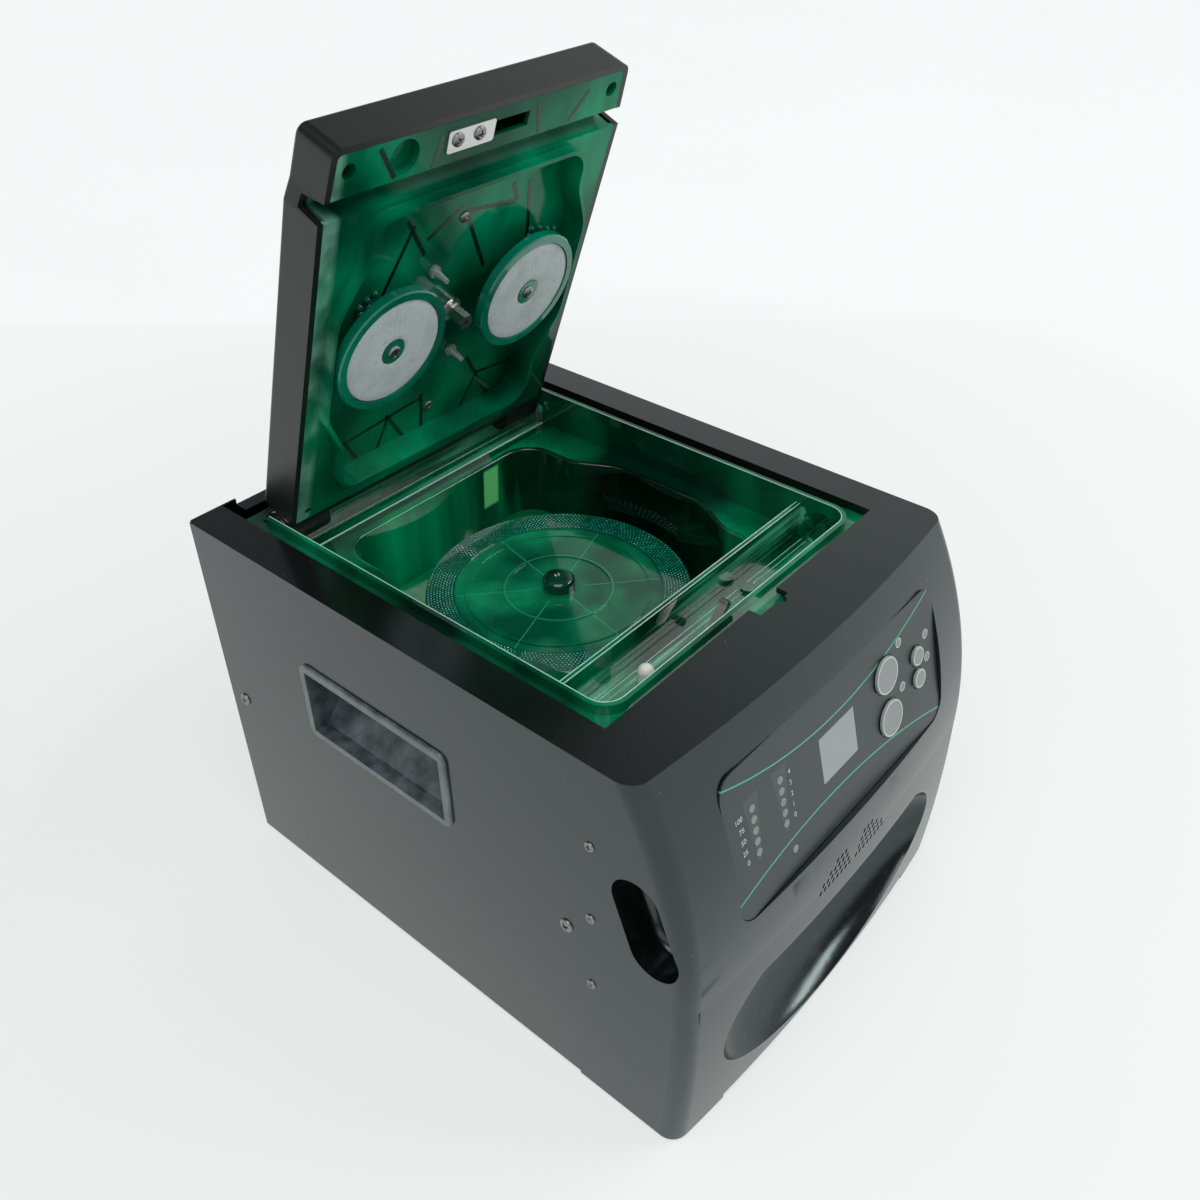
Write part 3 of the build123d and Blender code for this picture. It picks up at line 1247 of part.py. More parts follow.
hose_paths = []
for (rise_x, drop), (px, py), step, level in zip(hose_rises, pump_places[::-1], (3.0, 12.0), (108.0, 101.0)):
    foot, bend = [fitting_plane(rise_x, drop, -reach).origin for reach in (fitting_half, fitting_half + 12)]
    head = fitting_plane(rise_x, drop, fitting_half).origin
    crest = fitting_plane(rise_x, drop, fitting_half + 3).origin
    hose_paths.append(([(px, py, pump_top + 6), (px, py, level - 28), (px + step, py + 14, level - 14),
                        (px + step + 2, hose_y, level), (bend.X - 18, hose_y, level), bend, foot],
                       Plane(origin=(px, py, pump_top + 6), z_dir=(0, 0, 1))))
    hose_paths.append(([head, crest, (crest.X, hose_y, channel_z - tray_wall)],
                       fitting_plane(rise_x, drop, fitting_half)))
with BuildPart() as inner_hoses:
    for points, start in hose_paths:
        with BuildLine(mode=Mode.PRIVATE) as route:
            FilletPolyline(*points, radius=5)
        sweep(tube_on(start, hose_r, hose_bore_r), path=route.line)
    dx, dy = drain_place
    with BuildLine():
        FilletPolyline((dx, dy, bowl_floor_z - 0.2), (dx, dy, bowl_floor_z - 26),
                       (dx + 6, dy + 44, bowl_floor_z - 42), (dx + 6, dy + 44, supply_top), radius=8)
    with BuildSketch(Plane(origin=(dx, dy, bowl_floor_z - 0.2), z_dir=(0, 0, -1))):
        Circle(2.5)
        Circle(1.7, mode=Mode.SUBTRACT)
    sweep()
save(inner_hoses, "inner_hoses")

with BuildPart() as hose_fittings:
    for x, drop in hose_rises:
        with Locations(fitting_plane(x, drop, 0)):
            Cylinder(3.3, 14)
            Box(11, 3, 2.2)
            Box(3, 11, 2.2)
        with Locations(fitting_plane(x, drop, 7)):
            Cone(2.9, 2.1, 5, align=(Align.CENTER, Align.CENTER, Align.MIN))
        with Locations(fitting_plane(x, drop, -7)):
            Cone(2.1, 2.9, 5, align=(Align.CENTER, Align.CENTER, Align.MAX))
        with Locations(fitting_plane(x, drop, 0)):
            Cylinder(hose_bore_r, 40, mode=Mode.SUBTRACT)
save(hose_fittings, "hose_fittings")

# ---------------------------------------------------------------- electrics
supply_x1 = inner_x - 5.0
supply_x0 = supply_x1 - 68.0
supply_y1 = rear_y - 27.5
supply_y0 = supply_y1 - 66.0
board_x0, board_x1 = supply_x1 - 50.0, supply_x1
board_y0, board_y1 = seam_y + 11.0, supply_y0 - 14.0
board_l = board_y1 - board_y0
board_z = 11.0
board_t = 1.6
board_places = [(x, y) for x in (board_x0 + 4, board_x1 - 4) for y in (board_y0 + 4, board_y1 - 4)]
board_parts = [(12, 0.24, 16, 16, 8), (36, 0.20, 12, 22, 14), (14, 0.58, 20, 26, 20), (38, 0.76, 14, 20, 10)]
with BuildPart() as main_board:
    box_at(board_x0, board_x1, board_y0, board_y1, board_z, board_z + board_t)
    for x, y in board_places:
        upright(x, y, 2.5, pan_top_z, board_z)
    for along, share, w, l, h in board_parts:
        x, y = board_x0 + along, board_y0 + share * board_l
        box_at(x - w / 2, x + w / 2, y - l / 2, y + l / 2, board_z + board_t, board_z + board_t + h)
save(main_board, "main_board")

with BuildPart() as power_supply:
    box_at(supply_x0, supply_x1, supply_y0, supply_y1, pan_top_z, supply_top)
    with BuildSketch(Plane.XY.offset(supply_top - 2)):
        with Locations(((supply_x0 + supply_x1) / 2, (supply_y0 + supply_y1) / 2)):
            with GridLocations(6, 22, 9, 2):
                SlotOverall(16, 2.4, rotation=90)
    extrude(amount=3, mode=Mode.SUBTRACT)
save(power_supply, "power_supply")

fan_y = rear_face_y - 15.0
with BuildPart() as fan_frame:
    with BuildSketch(Plane.XZ.offset(-rear_face_y)):
        with Locations((fan_x, fan_z)):
            RectangleRounded(fan_size, fan_size, 4)
            Circle(27.0, mode=Mode.SUBTRACT)
    extrude(amount=15)
    with BuildSketch(Plane.XZ.offset(-fan_y)):
        with Locations((fan_x, fan_z)):
            Circle(10)
            Rectangle(fan_size - 2, 3)
            Rectangle(3, fan_size - 2)
    extrude(amount=-2)
    with BuildSketch(Plane.XZ.offset(-fan_y - 2)):
        with Locations((fan_x, fan_z)):
            Circle(2.0)
    extrude(amount=-9)
save(fan_frame, "fan_frame")

with BuildPart() as fan_rotor:
    with BuildSketch(Plane.XZ.offset(-fan_y - 2.6)):
        with Locations((fan_x, fan_z)):
            Circle(11)
    extrude(amount=-9)
    for i in range(7):
        with BuildSketch(Plane.XZ.offset(-fan_y - 3.0)):
            with Locations(Location((fan_x, fan_z), 360 / 7 * i)):
                with Locations((18.0, 0)):
                    Rectangle(14, 8, rotation=20)
        extrude(amount=-1.6)
    with BuildSketch(Plane.XZ.offset(-fan_y)):
        with Locations((fan_x, fan_z)):
            Circle(2.0 + run_gap)
    extrude(amount=-12.0, mode=Mode.SUBTRACT)
save(fan_rotor, "fan_rotor")

with BuildPart() as power_inlet:
    with BuildSketch(Plane.XZ.offset(-rear_face_y - sheet_t)):
        with Locations((inlet_x, inlet_z)):
            RectangleRounded(inlet_w + 6, inlet_h + 4, 3)
    extrude(amount=-inlet_flange_t)
    with BuildSketch(Plane.XZ.offset(-rear_face_y - sheet_t)):
        with Locations((inlet_x, inlet_z)):
            Rectangle(inlet_w, inlet_h)
    extrude(amount=20)
    with BuildSketch(Plane.XZ.offset(-rear_face_y - sheet_t - 3)):
        with Locations((inlet_x, inlet_z)):
            Rectangle(inlet_w - 4, inlet_h - 4)
    extrude(amount=18, mode=Mode.SUBTRACT)
    with BuildSketch(Plane.XZ.offset(-rear_face_y - sheet_t + 17)):
        with Locations((inlet_x - 7, inlet_z - 1), (inlet_x, inlet_z + 2.5), (inlet_x + 7, inlet_z - 1)):
            Rectangle(2, 4)
    extrude(amount=-13)
save(power_inlet, "power_inlet")

with BuildPart() as switch_frame:
    with BuildSketch(Plane.XZ.offset(-rear_face_y - sheet_t)):
        with Locations((rocker_x, rocker_z)):
            RectangleRounded(rocker_w + 4, rocker_h + 4, 1.5)
    extrude(amount=-switch_flange_t)
    with BuildSketch(Plane.XZ.offset(-rear_face_y - sheet_t)):
        with Locations((rocker_x, rocker_z)):
            Rectangle(rocker_w, rocker_h)
    extrude(amount=14)
    with BuildSketch(Plane.XZ.offset(-rear_face_y - sheet_t - 3)):
        with Locations((rocker_x, rocker_z)):
            Rectangle(rocker_w - 3, rocker_h - 3)
    extrude(amount=12.5, mode=Mode.SUBTRACT)
    with BuildSketch(Plane.XY.offset(rocker_z - rocker_h / 2 + 1)):
        with Locations((rocker_x, rear_face_y - 1)):
            Circle(1.0)
    extrude(amount=rocker_h - 2)
save(switch_frame, "switch_frame")

rocker_half = rocker_w / 2 - 1.5 - 1.6
with BuildPart() as power_rocker:
    with BuildSketch(Plane.XY.offset(rocker_z - rocker_h / 2 + 1.5 + fit_gap)):
        with BuildLine():
            Polyline((rocker_x - rocker_half, rear_face_y + 1.0), (rocker_x - rocker_half, rear_face_y + rear_reach),
                     (rocker_x, rear_face_y + 1.2), (rocker_x + rocker_half, rear_face_y + 0.8),
                     (rocker_x + rocker_half, rear_face_y - 1.0), (rocker_x + 3, rear_face_y - 4),
                     (rocker_x - 3, rear_face_y - 4), close=True)
        make_face()
        with Locations((rocker_x, rear_face_y - 1)):
            Circle(1.0 + run_gap, mode=Mode.SUBTRACT)
    extrude(amount=rocker_h - 3 - 2 * fit_gap)
save(power_rocker, "power_rocker")
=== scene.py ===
import json
from math import atan2, cos, pi, radians, sin

import bmesh
import bpy
from bpy.props import FloatProperty, FloatVectorProperty, IntProperty, PointerProperty
from mathutils import Matrix, Vector


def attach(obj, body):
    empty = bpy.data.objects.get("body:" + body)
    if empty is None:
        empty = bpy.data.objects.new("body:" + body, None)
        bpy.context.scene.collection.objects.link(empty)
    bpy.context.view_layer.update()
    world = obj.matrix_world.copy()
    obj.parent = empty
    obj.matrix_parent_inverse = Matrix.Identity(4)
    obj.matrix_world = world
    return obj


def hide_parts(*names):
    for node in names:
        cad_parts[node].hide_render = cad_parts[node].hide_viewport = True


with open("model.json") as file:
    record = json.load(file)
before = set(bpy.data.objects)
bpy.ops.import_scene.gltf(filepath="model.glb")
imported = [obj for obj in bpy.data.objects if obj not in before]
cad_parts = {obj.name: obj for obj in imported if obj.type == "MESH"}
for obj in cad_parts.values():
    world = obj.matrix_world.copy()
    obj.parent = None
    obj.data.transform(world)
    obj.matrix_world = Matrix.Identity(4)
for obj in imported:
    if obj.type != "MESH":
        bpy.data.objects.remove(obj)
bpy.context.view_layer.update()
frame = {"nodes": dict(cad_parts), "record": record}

bl_info = {
    "name": "Disc repair machine",
    "version": (1, 0, 0),
    "blender": (4, 5, 0),
    "location": "View3D > Sidebar > Disc repair",
    "description": "Dresses the packed disc repair machine with its finishes and fine pieces",
    "category": "Object",
}

MM = 0.001
HINGE = Vector((0, 113.6, 184.5)) * MM
OPEN = radians(70.2)
PANEL_FOOT = Vector((0, -135.2, 115.8)) * MM
PANEL_TILT = atan2(62.2, 16.2)
PLATTER = Vector((0, 21.4, 0)) * MM


# ---------------------------------------------------------------- shader maths
class Num:
    """A number in a shader tree, so that sums on it read as sums."""

    def __init__(self, finish, socket):
        self.finish = finish
        self.socket = socket

    def _math(self, operation, *values):
        node = self.finish.node("ShaderNodeMath", {"operation": operation}, *values)
        return Num(self.finish, node.outputs[0])

    def __add__(self, other):
        return self._math("ADD", self, other)

    def __radd__(self, other):
        return self._math("ADD", other, self)

    def __sub__(self, other):
        return self._math("SUBTRACT", self, other)

    def __rsub__(self, other):
        return self._math("SUBTRACT", other, self)

    def __mul__(self, other):
        return self._math("MULTIPLY", self, other)

    def __rmul__(self, other):
        return self._math("MULTIPLY", other, self)

    def __truediv__(self, other):
        return self._math("DIVIDE", self, other)

    def __pow__(self, other):
        return self._math("POWER", self, other)

    def __lt__(self, other):
        return self._math("LESS_THAN", self, other)

    def __gt__(self, other):
        return self._math("GREATER_THAN", self, other)

    def __abs__(self):
        return self._math("ABSOLUTE", self)

    def root(self):
        return self._math("SQRT", self)

    def sine(self):
        return self._math("SINE", self)

    def min(self, other):
        return self._math("MINIMUM", self, other)

    def max(self, other):
        return self._math("MAXIMUM", self, other)

    def span(self, low, high, to_low=0.0, to_high=1.0):
        """This number mapped from one span to another and held inside it."""
        node = self.finish.node("ShaderNodeMapRange", {"clamp": True}, self, low, high, to_low, to_high)
        return Num(self.finish, node.outputs[0])


class Finish:
    """A material and the nodes that make it."""

    def __init__(self, name, **even):
        self.material = bpy.data.materials.new(name)
        self.material.use_nodes = True
        self.tree = self.material.node_tree
        self.shader = self.tree.nodes["Principled BSDF"]
        self.even(**even)

    def node(self, kind, settings=None, *values, **named):
        """Any node: its settings first, then its sockets by place or by name."""
        node = self.tree.nodes.new(kind)
        for key, value in (settings or {}).items():
            setattr(node, key, value)
        for key, value in list(enumerate(values)) + [(k.replace("_", " "), v) for k, v in named.items()]:
            self.feed(node.inputs[key], value)
        return node

    def feed(self, socket, value):
        if isinstance(value, Num):
            value = value.socket
        if isinstance(value, bpy.types.NodeSocket):
            self.tree.links.new(value, socket)
        elif value is not None:
            socket.default_value = value

    def even(self, **values):
        """Values that are the same all over, set on the shader's own sockets."""
        for key, value in values.items():
            name = key.replace("_", " ")
            self.shader.inputs[name].default_value = (*value, 1.0) if isinstance(value, tuple) else value

    def drive(self, **values):
        """Values that change over the surface."""
        for key, value in values.items():
            self.feed(self.shader.inputs[key.replace("_", " ")], value)

    def place(self, turn=0.0, about=(0, 0, 0), move=(0, 0, 0)):
        """Object coordinates, turned about an X line through a point."""
        coords = self.node("ShaderNodeTexCoord").outputs["Object"]
        spin = Matrix.Rotation(turn, 3, "X")
        shift = Vector(about) - spin @ Vector(about) + Vector(move)
        node = self.node("ShaderNodeMapping", {"vector_type": "POINT"}, coords, tuple(shift), (turn, 0, 0))
        return node.outputs[0]

    def axes(self, vector):
        """A vector's three numbers."""
        node = self.node("ShaderNodeSeparateXYZ", None, vector)
        return [Num(self, out) for out in node.outputs]

    def noise(self, scale, detail=3.0, rough=0.55, vector=None, stretch=None):
        vector = vector or self.node("ShaderNodeTexCoord").outputs["Object"]
        if stretch:
            vector = self.node("ShaderNodeVectorMath", {"operation": "MULTIPLY"}, vector, stretch).outputs[0]
        node = self.node("ShaderNodeTexNoise", None, Vector=vector, Scale=scale, Detail=detail, Roughness=rough)
        return Num(self, node.outputs[0])

    def cells(self, scale, vector=None, feature="F1"):
        vector = vector or self.node("ShaderNodeTexCoord").outputs["Object"]
        node = self.node("ShaderNodeTexVoronoi", {"feature": feature}, Vector=vector, Scale=scale)
        return Num(self, node.outputs[0])

    def blend(self, share, first, second):
        """One colour laid over another by a share from 0 to 1."""
        first = (*first, 1.0) if isinstance(first, tuple) else first
        second = (*second, 1.0) if isinstance(second, tuple) else second
        node = self.node("ShaderNodeMix", {"data_type": "RGBA"})
        self.feed(node.inputs[0], share)
        self.feed(node.inputs[6], first)
        self.feed(node.inputs[7], second)
        return node.outputs[2]

    def relief(self, height, depth, strength=1.0):
        """A bump of that depth in metres, fed to the shader's normal."""
        node = self.node("ShaderNodeBump", None, Strength=strength, Distance=depth, Height=height)
        self.drive(Normal=node.outputs[0])


def stroke(x, y, a, b, width, soft=0.25):
    """1 on a line between two points and 0 off it, in millimetres."""
    (ax, ay), (bx, by) = a, b
    dx, dy = bx - ax, by - ay
    size = dx * dx + dy * dy
    along = ((x - ax) * (dx / size) + (y - ay) * (dy / size)).max(0.0).min(1.0)
    gap_x, gap_y = x - ax - along * dx, y - ay - along * dy
    return (gap_x * gap_x + gap_y * gap_y).root().span(width / 2 + soft, width / 2)


# ---------------------------------------------------------------- finishes
def painted_steel():
    f = Finish("painted_steel", Specular_IOR_Level=0.78, Specular_Tint=(0.82, 1.0, 0.97))
    fine = f.noise(2600, 2.0)
    broad = f.noise(9, 4.0)
    speck = f.noise(420, 2.0, 0.5).span(0.74, 0.8)
    paint = f.blend(broad, (0.002, 0.0024, 0.0024), (0.0045, 0.0055, 0.0055))
    f.drive(Base_Color=f.blend(speck * 0.4, paint, (0.1, 0.105, 0.105)), Roughness=0.13 + broad * 0.06 + fine * 0.04)
    f.relief(fine, 0.00003, 0.35)
    return f.material


def grained_plastic():
    f = Finish("grained_plastic", Specular_IOR_Level=0.8, Specular_Tint=(0.8, 1.0, 0.97))
    where = f.place()
    x, y, z = f.axes(where)
    fine = f.cells(1500, where)
    broad = f.noise(12, 4.0)
    hollow = ((x * 1000 / 84) ** 2 + ((z * 1000 - 48) / 43) ** 2).span(1.02, 0.96) * (z < 0.0775)
    # pale streaks in the scoop: partly scratches, partly painted highlight streaks
    scratch_and_highlight = f.noise(90, 3.0, 0.65, where, (1.0, 1.0, 5.0)).span(0.55, 0.72)
    speck = f.noise(500, 2.0, 0.5).span(0.73, 0.78)
    ground = f.blend(scratch_and_highlight * hollow * 0.4, (0.003, 0.0036, 0.0036), (0.05, 0.055, 0.058))
    f.drive(Base_Color=f.blend(speck * 0.5, ground, (0.13, 0.135, 0.135)),
            Roughness=0.21 + broad * 0.06 - hollow * 0.06)
    f.relief(fine, 0.00005, 0.35)
    return f.material


def plain_plastic(name, colour, rough=0.4, grain=1800.0):
    f = Finish(name)
    fine = f.noise(grain, 2.0)
    broad = f.noise(14, 4.0)
    darker = tuple(c * 0.8 for c in colour)
    f.drive(Base_Color=f.blend(broad, darker, colour), Roughness=rough - 0.04 + broad * 0.1)
    f.relief(fine, 0.00003, 0.4)
    return f.material


def green_plastic(name, bright=(0.0, 0.36, 0.16), deep=(0.0, 0.06, 0.03), clear=0.3, rough=0.05, size=17.0, coat=0.35,
                  stretch=(1.0, 1.0, 0.3)):
    """Translucent green moulding: part of the light goes through, and its colour carries painted patches of light,
    streaked with painted vertical reflections.
    """
    f = Finish(name, Transmission_Weight=clear, IOR=1.49, Coat_Weight=coat, Coat_Roughness=0.03)
    # painted light: brighter patches where light would come through, broken by painted reflection streaks
    glow = f.noise(size, 2.0, 0.5, None, stretch).span(0.4, 0.64)
    painted_reflection_streak = f.noise(60, 3.0, 0.6, None, (1.0, 1.0, 0.12)).span(0.35, 0.75)
    f.drive(Base_Color=f.blend(glow * (0.45 + painted_reflection_streak * 0.55), deep, bright), Roughness=rough + glow * 0.05)
    f.relief(f.noise(55, 2.0), 0.00015, 0.25)
    return f


def tray_plastic():
    """The tray's rim and ledges, with long painted highlight streaks and darker painted shade streaks in the channel
    and the trough.
    """
    f = green_plastic("green_tray", (0.0, 0.4, 0.17), (0.0, 0.03, 0.016), 0.3, 0.05, 15.0, 0.35)
    x, y, z = f.axes(f.place())
    painted_light_streaks = f.noise(130, 3.0, 0.55, None, (0.05, 1.0, 1.0))
    trench = (y < -0.05).max(y > 0.1) * (z < 0.186)
    base = f.shader.inputs["Base Color"].links[0].from_socket
    # painted shade streaks first, then pale painted highlight streaks over them
    ground = f.blend(trench * painted_light_streaks.span(0.5, 0.36) * 0.8, base, (0.0, 0.035, 0.02))
    f.drive(Base_Color=f.blend(trench * painted_light_streaks.span(0.56, 0.66) * 0.75, ground, (0.16, 0.78, 0.48)))
    return f.material


def bowl_plastic():
    """The bowl's green: painted shade on the walls at the right, a painted patch of light on the back wall, and a
    painted glow on the floor under the platter.
    """
    f = green_plastic("green_bowl", (0.0, 0.5, 0.19), (0.0, 0.012, 0.006), 0.3, 0.05, 16.0, 0.5)
    x, y, z = f.axes(f.place())
    x, y, z = x * 1000, y * 1000, z * 1000
    base = f.shader.inputs["Base Color"].links[0].from_socket
    # painted shade on the walls at the right
    shade = x.span(-5.0, 35.0) * (z > 137) * f.noise(24, 3.0, 0.6, None, (1.0, 1.0, 0.2)).span(0.62, 0.5)
    ground = f.blend(shade * 0.9, base, (0.0, 0.006, 0.003))
    # painted patch of light on the back wall
    painted_light_patch = (5.5 - abs(x - 33.0 - (z - 160) * 0.06)).span(0.0, 1.2) * (11 - abs(z - 160)).span(0.0, 1.5) * (y > 88)
    cloud = f.noise(30, 3.0, 0.6).span(0.4, 0.62)
    # painted glow of light on the floor under the platter
    glow = (72 - (x * x + (y - 21.4) ** 2).root()).span(-6.0, 20.0) * (z < 137) * cloud * 0.5
    f.drive(Base_Color=f.blend(painted_light_patch.max(glow), ground, (0.2, 0.88, 0.3)))
    return f.material


def liner_plastic():
    """The lid's green liner, with painted highlights along its two long bends and a painted lighter strip along its
    left edge.
    """
    f = green_plastic("green_liner", (0.0, 0.42, 0.19), (0.0, 0.06, 0.03), 0.12, 0.07, 15.0, 0.0, (1.0, 1.0, 1.0))
    f.even(Specular_IOR_Level=0.22, Specular_Tint=(0.4, 1.0, 0.8))
    x, y, z = f.axes(f.place(OPEN, HINGE))
    x, y = x * 1000, y * 1000
    base = f.shader.inputs["Base Color"].links[0].from_socket
    ripple = f.noise(60, 2.0, 0.5).span(0.3, 0.6)
    # painted highlights on the two bends and a painted lighter strip along the left edge
    low = (1.6 - abs(y - 108.0)).span(0.0, 1.4) * (x + 34).span(0.0, 8.0) * (50 - x).span(0.0, 8.0)
    high = (0.8 - abs(y + 46.5)).span(0.0, 0.8) * (x + 45).span(0.0, 8.0) * 0.7
    side = (-68 - x).span(0.0, 3.0) * ripple * 0.35
    f.drive(Base_Color=f.blend(low.max(high).max(side) * (0.6 + ripple * 0.4), base, (0.42, 0.9, 0.72)))
    return f.material


def platter_plastic():
    """The platter's clear green, with moulded lines across its face and a darker knurled ring."""
    f = green_plastic("green_platter", (0.012, 0.5, 0.22), (0.0, 0.12, 0.06), 0.45, 0.05, 26.0, 0.4, (1.0, 1.0, 1.0))
    x, y, z = f.axes(f.place(0.0, (0, 0, 0), -PLATTER))
    x, y = x * 1000, y * 1000
    away = (x * x + y * y).root()
    lines = (away - 24.3).span(-0.3, 0.0) * (away - 24.9).span(0.3, 0.0)
    for turn in (18, 78, 138):
        a = radians(turn)
        lines = lines.max(abs(x * sin(a) - y * cos(a)).span(0.5, 0.28) * (away > 11) * (away < 46.5))
    ring = (away > 47) * (away < 58.6)
    base = f.shader.inputs["Base Color"].links[0].from_socket
    ground = f.blend(ring * 0.75, base, (0.0, 0.1, 0.065))
    f.drive(Base_Color=f.blend(lines * 0.5, ground, (0.05, 0.55, 0.3)))
    return f.material


def pad_fabric():
    """A fine felt with worn, darker streaks."""
    f = Finish("pad_foam", Sheen_Weight=0.3)
    weave = f.cells(1300)
    worn = f.noise(75, 4.0, 0.65).span(0.45, 0.75)
    speck = f.noise(700, 2.0, 0.5).span(0.6, 0.72)
    ground = f.blend(worn, (0.56, 0.62, 0.63), (0.42, 0.48, 0.49))
    f.drive(Base_Color=f.blend(speck * 0.45, ground, (0.27, 0.32, 0.33)), Roughness=0.86 + weave * 0.1)
    f.relief(weave, 0.00025, 0.7)
    return f.material


def cup_plastic():
    """The carrying cups' inside: scuffed, with cloudy marks that catch the light."""
    f = Finish("cup_plastic", Specular_IOR_Level=0.7, Coat_Weight=0.3, Coat_Roughness=0.3)
    cloud = f.noise(75, 4.0, 0.62).span(0.35, 0.75)
    f.drive(Base_Color=f.blend(cloud, (0.03, 0.042, 0.048), (0.16, 0.21, 0.225)), Roughness=0.3 + cloud * 0.2)
    f.relief(f.noise(900, 2.0), 0.00003, 0.3)
    return f.material


def metal(name, colour=(0.62, 0.62, 0.61), rough=0.24, brushed=(1.0, 1.0, 12.0)):
    f = Finish(name, Metallic=1.0)
    grain = f.noise(500, 3.0, 0.6, None, brushed)
    f.drive(Base_Color=f.blend(grain, tuple(c * 0.78 for c in colour), colour), Roughness=rough + grain * 0.14)
    f.relief(grain, 0.00003, 0.3)
    return f.material


def clear_plastic():
    f = Finish("clear_plastic", Transmission_Weight=0.75, IOR=1.5)
    haze = f.noise(90, 3.0)
    f.drive(Base_Color=f.blend(haze, (0.72, 0.84, 0.78), (0.9, 0.95, 0.93)), Roughness=0.08 + haze * 0.12)
    return f.material


def printed_film():
    """The control panel's dark film with two thin arcs and two paler wedges behind the lights."""
    f = Finish("printed_film", Specular_IOR_Level=0.7, Specular_Tint=(0.8, 1.0, 0.97))
    x, v, out = f.axes(f.place(-PANEL_TILT, PANEL_FOOT, -PANEL_FOOT))
    x, v = x * 1000, v * 1000
    rise = x + 3.8
    upper = abs(v - (48.3 + rise * rise * 0.00257)).span(0.45, 0.2)
    drop = x + 12.5
    lower = abs(v - (16.0 - drop * drop * 0.001682)).span(0.45, 0.2)
    wedges = 0.0
    for centre in (-59.6, -41.7):
        half = (v - 12.0) * 0.13
        wedges = (half - abs(x - centre)).span(0.0, 0.3) * (v > 20.0) * (v < 49.0) + wedges
    broad = f.noise(25, 3.0)
    ground = f.blend(broad, (0.013, 0.016, 0.0165), (0.018, 0.0215, 0.022))
    ground = f.blend(wedges * 0.8, ground, (0.045, 0.052, 0.052))
    f.drive(Base_Color=f.blend(upper.max(lower), ground, (0.06, 0.42, 0.27)), Roughness=0.33 + broad * 0.08)
    f.relief(f.noise(2200, 2.0), 0.00002, 0.3)
    return f.material


FINISHES = {
    "painted_steel": painted_steel,
    "grained_plastic": grained_plastic,
    "cup_plastic": cup_plastic,
    "black_plastic": lambda: plain_plastic("black_plastic", (0.006, 0.0066, 0.0067), 0.33),
    "printed_film": printed_film,
    "panel_film": lambda: plain_plastic("panel_film", (0.03, 0.033, 0.035), 0.3),
    "pale_print": lambda: plain_plastic("pale_print", (0.62, 0.72, 0.68), 0.4),
    "display_glass": lambda: plain_plastic("display_glass", (0.36, 0.4, 0.39), 0.12, 300),
    "light_pipe": lambda: plain_plastic("light_pipe", (0.25, 0.27, 0.26), 0.25),
    "key_plastic": lambda: plain_plastic("key_plastic", (0.3, 0.32, 0.315), 0.35),
    "green_tray": tray_plastic,
    "green_bowl": bowl_plastic,
    "green_liner": liner_plastic,
    "green_platter": platter_plastic,
    "green_points": lambda: green_plastic("green_points", (0.05, 0.62, 0.42), (0.0, 0.09, 0.065), 0.2, 0.04, 420.0).material,
    "green_hub": lambda: green_plastic("green_hub", (0.0, 0.12, 0.06), (0.0, 0.03, 0.016), 0.45, 0.03, 90.0).material,
    "green_holder": lambda: green_plastic("green_holder", (0.0, 0.42, 0.24), (0.0, 0.16, 0.1), 0.35, 0.06).material,
    # pale green for the beads that are painted highlight lines
    "green_painted_highlight": lambda: plain_plastic("green_painted_highlight", (0.36, 0.66, 0.53), 0.14, 200),
    "green_shadow": lambda: plain_plastic("green_shadow", (0.0, 0.022, 0.014), 0.12, 200),
    "clear_plastic": clear_plastic,
    "pale_fitting": lambda: plain_plastic("pale_fitting", (0.2, 0.55, 0.3), 0.3, 300),
    "white_plastic": lambda: plain_plastic("white_plastic", (0.8, 0.82, 0.74), 0.3, 400),
    "steel": lambda: metal("steel", (0.72, 0.72, 0.7), 0.18),
    "screw_steel": lambda: metal("screw_steel", (0.3, 0.3, 0.3), 0.28, (1.0, 1.0, 1.0)),
    "zinc_steel": lambda: metal("zinc_steel", (0.45, 0.46, 0.47), 0.38),
    "aluminium": lambda: metal("aluminium", (0.72, 0.72, 0.73), 0.32),
    "rubber": lambda: plain_plastic("rubber", (0.02, 0.02, 0.02), 0.7, 900),
    "pad_foam": pad_fabric,
    "board": lambda: plain_plastic("board", (0.01, 0.1, 0.04), 0.4, 700),
    "hose": clear_plastic,
    "bottle": lambda: plain_plastic("bottle", (0.7, 0.7, 0.66), 0.4, 300),
}
NODE_FINISH = {
    "front_bezel": "grained_plastic", "control_overlay": "printed_film", "splash_tray": "green_tray",
    "tray_bowl": "green_bowl", "lid_liner": "green_liner", "platter": "green_platter", "hub_cap": "green_hub",
    "pad_holder_left": "green_holder", "pad_holder_right": "green_holder", "handle_cup_left": "cup_plastic",
    "handle_cup_right": "cup_plastic", "hose_fittings": "pale_fitting",
}
MADE = {}


def finish(name):
    if name not in MADE:
        MADE[name] = FINISHES[name]()
    return MADE[name]


def dress(obj, material):
    """Puts one material on every face."""
    obj.data.materials.clear()
    obj.data.materials.append(material)
    for polygon in obj.data.polygons:
        polygon.material_index = 0


# ---------------------------------------------------------------- places
def on_panel(x, v, out=0.0):
    """A point of the control panel, from millimetres across, up and out of it."""
    up = Vector((0, cos(PANEL_TILT), sin(PANEL_TILT)))
    normal = Vector((0, -sin(PANEL_TILT), cos(PANEL_TILT)))
    return PANEL_FOOT + (Vector((x, 0, 0)) + up * v + normal * out) * MM


def on_lid(x, y, z):
    """A point of the closed lid, in millimetres, where it stands with the lid open."""
    return HINGE + Matrix.Rotation(-OPEN, 3, "X") @ (Vector((x, y, z)) * MM - HINGE)


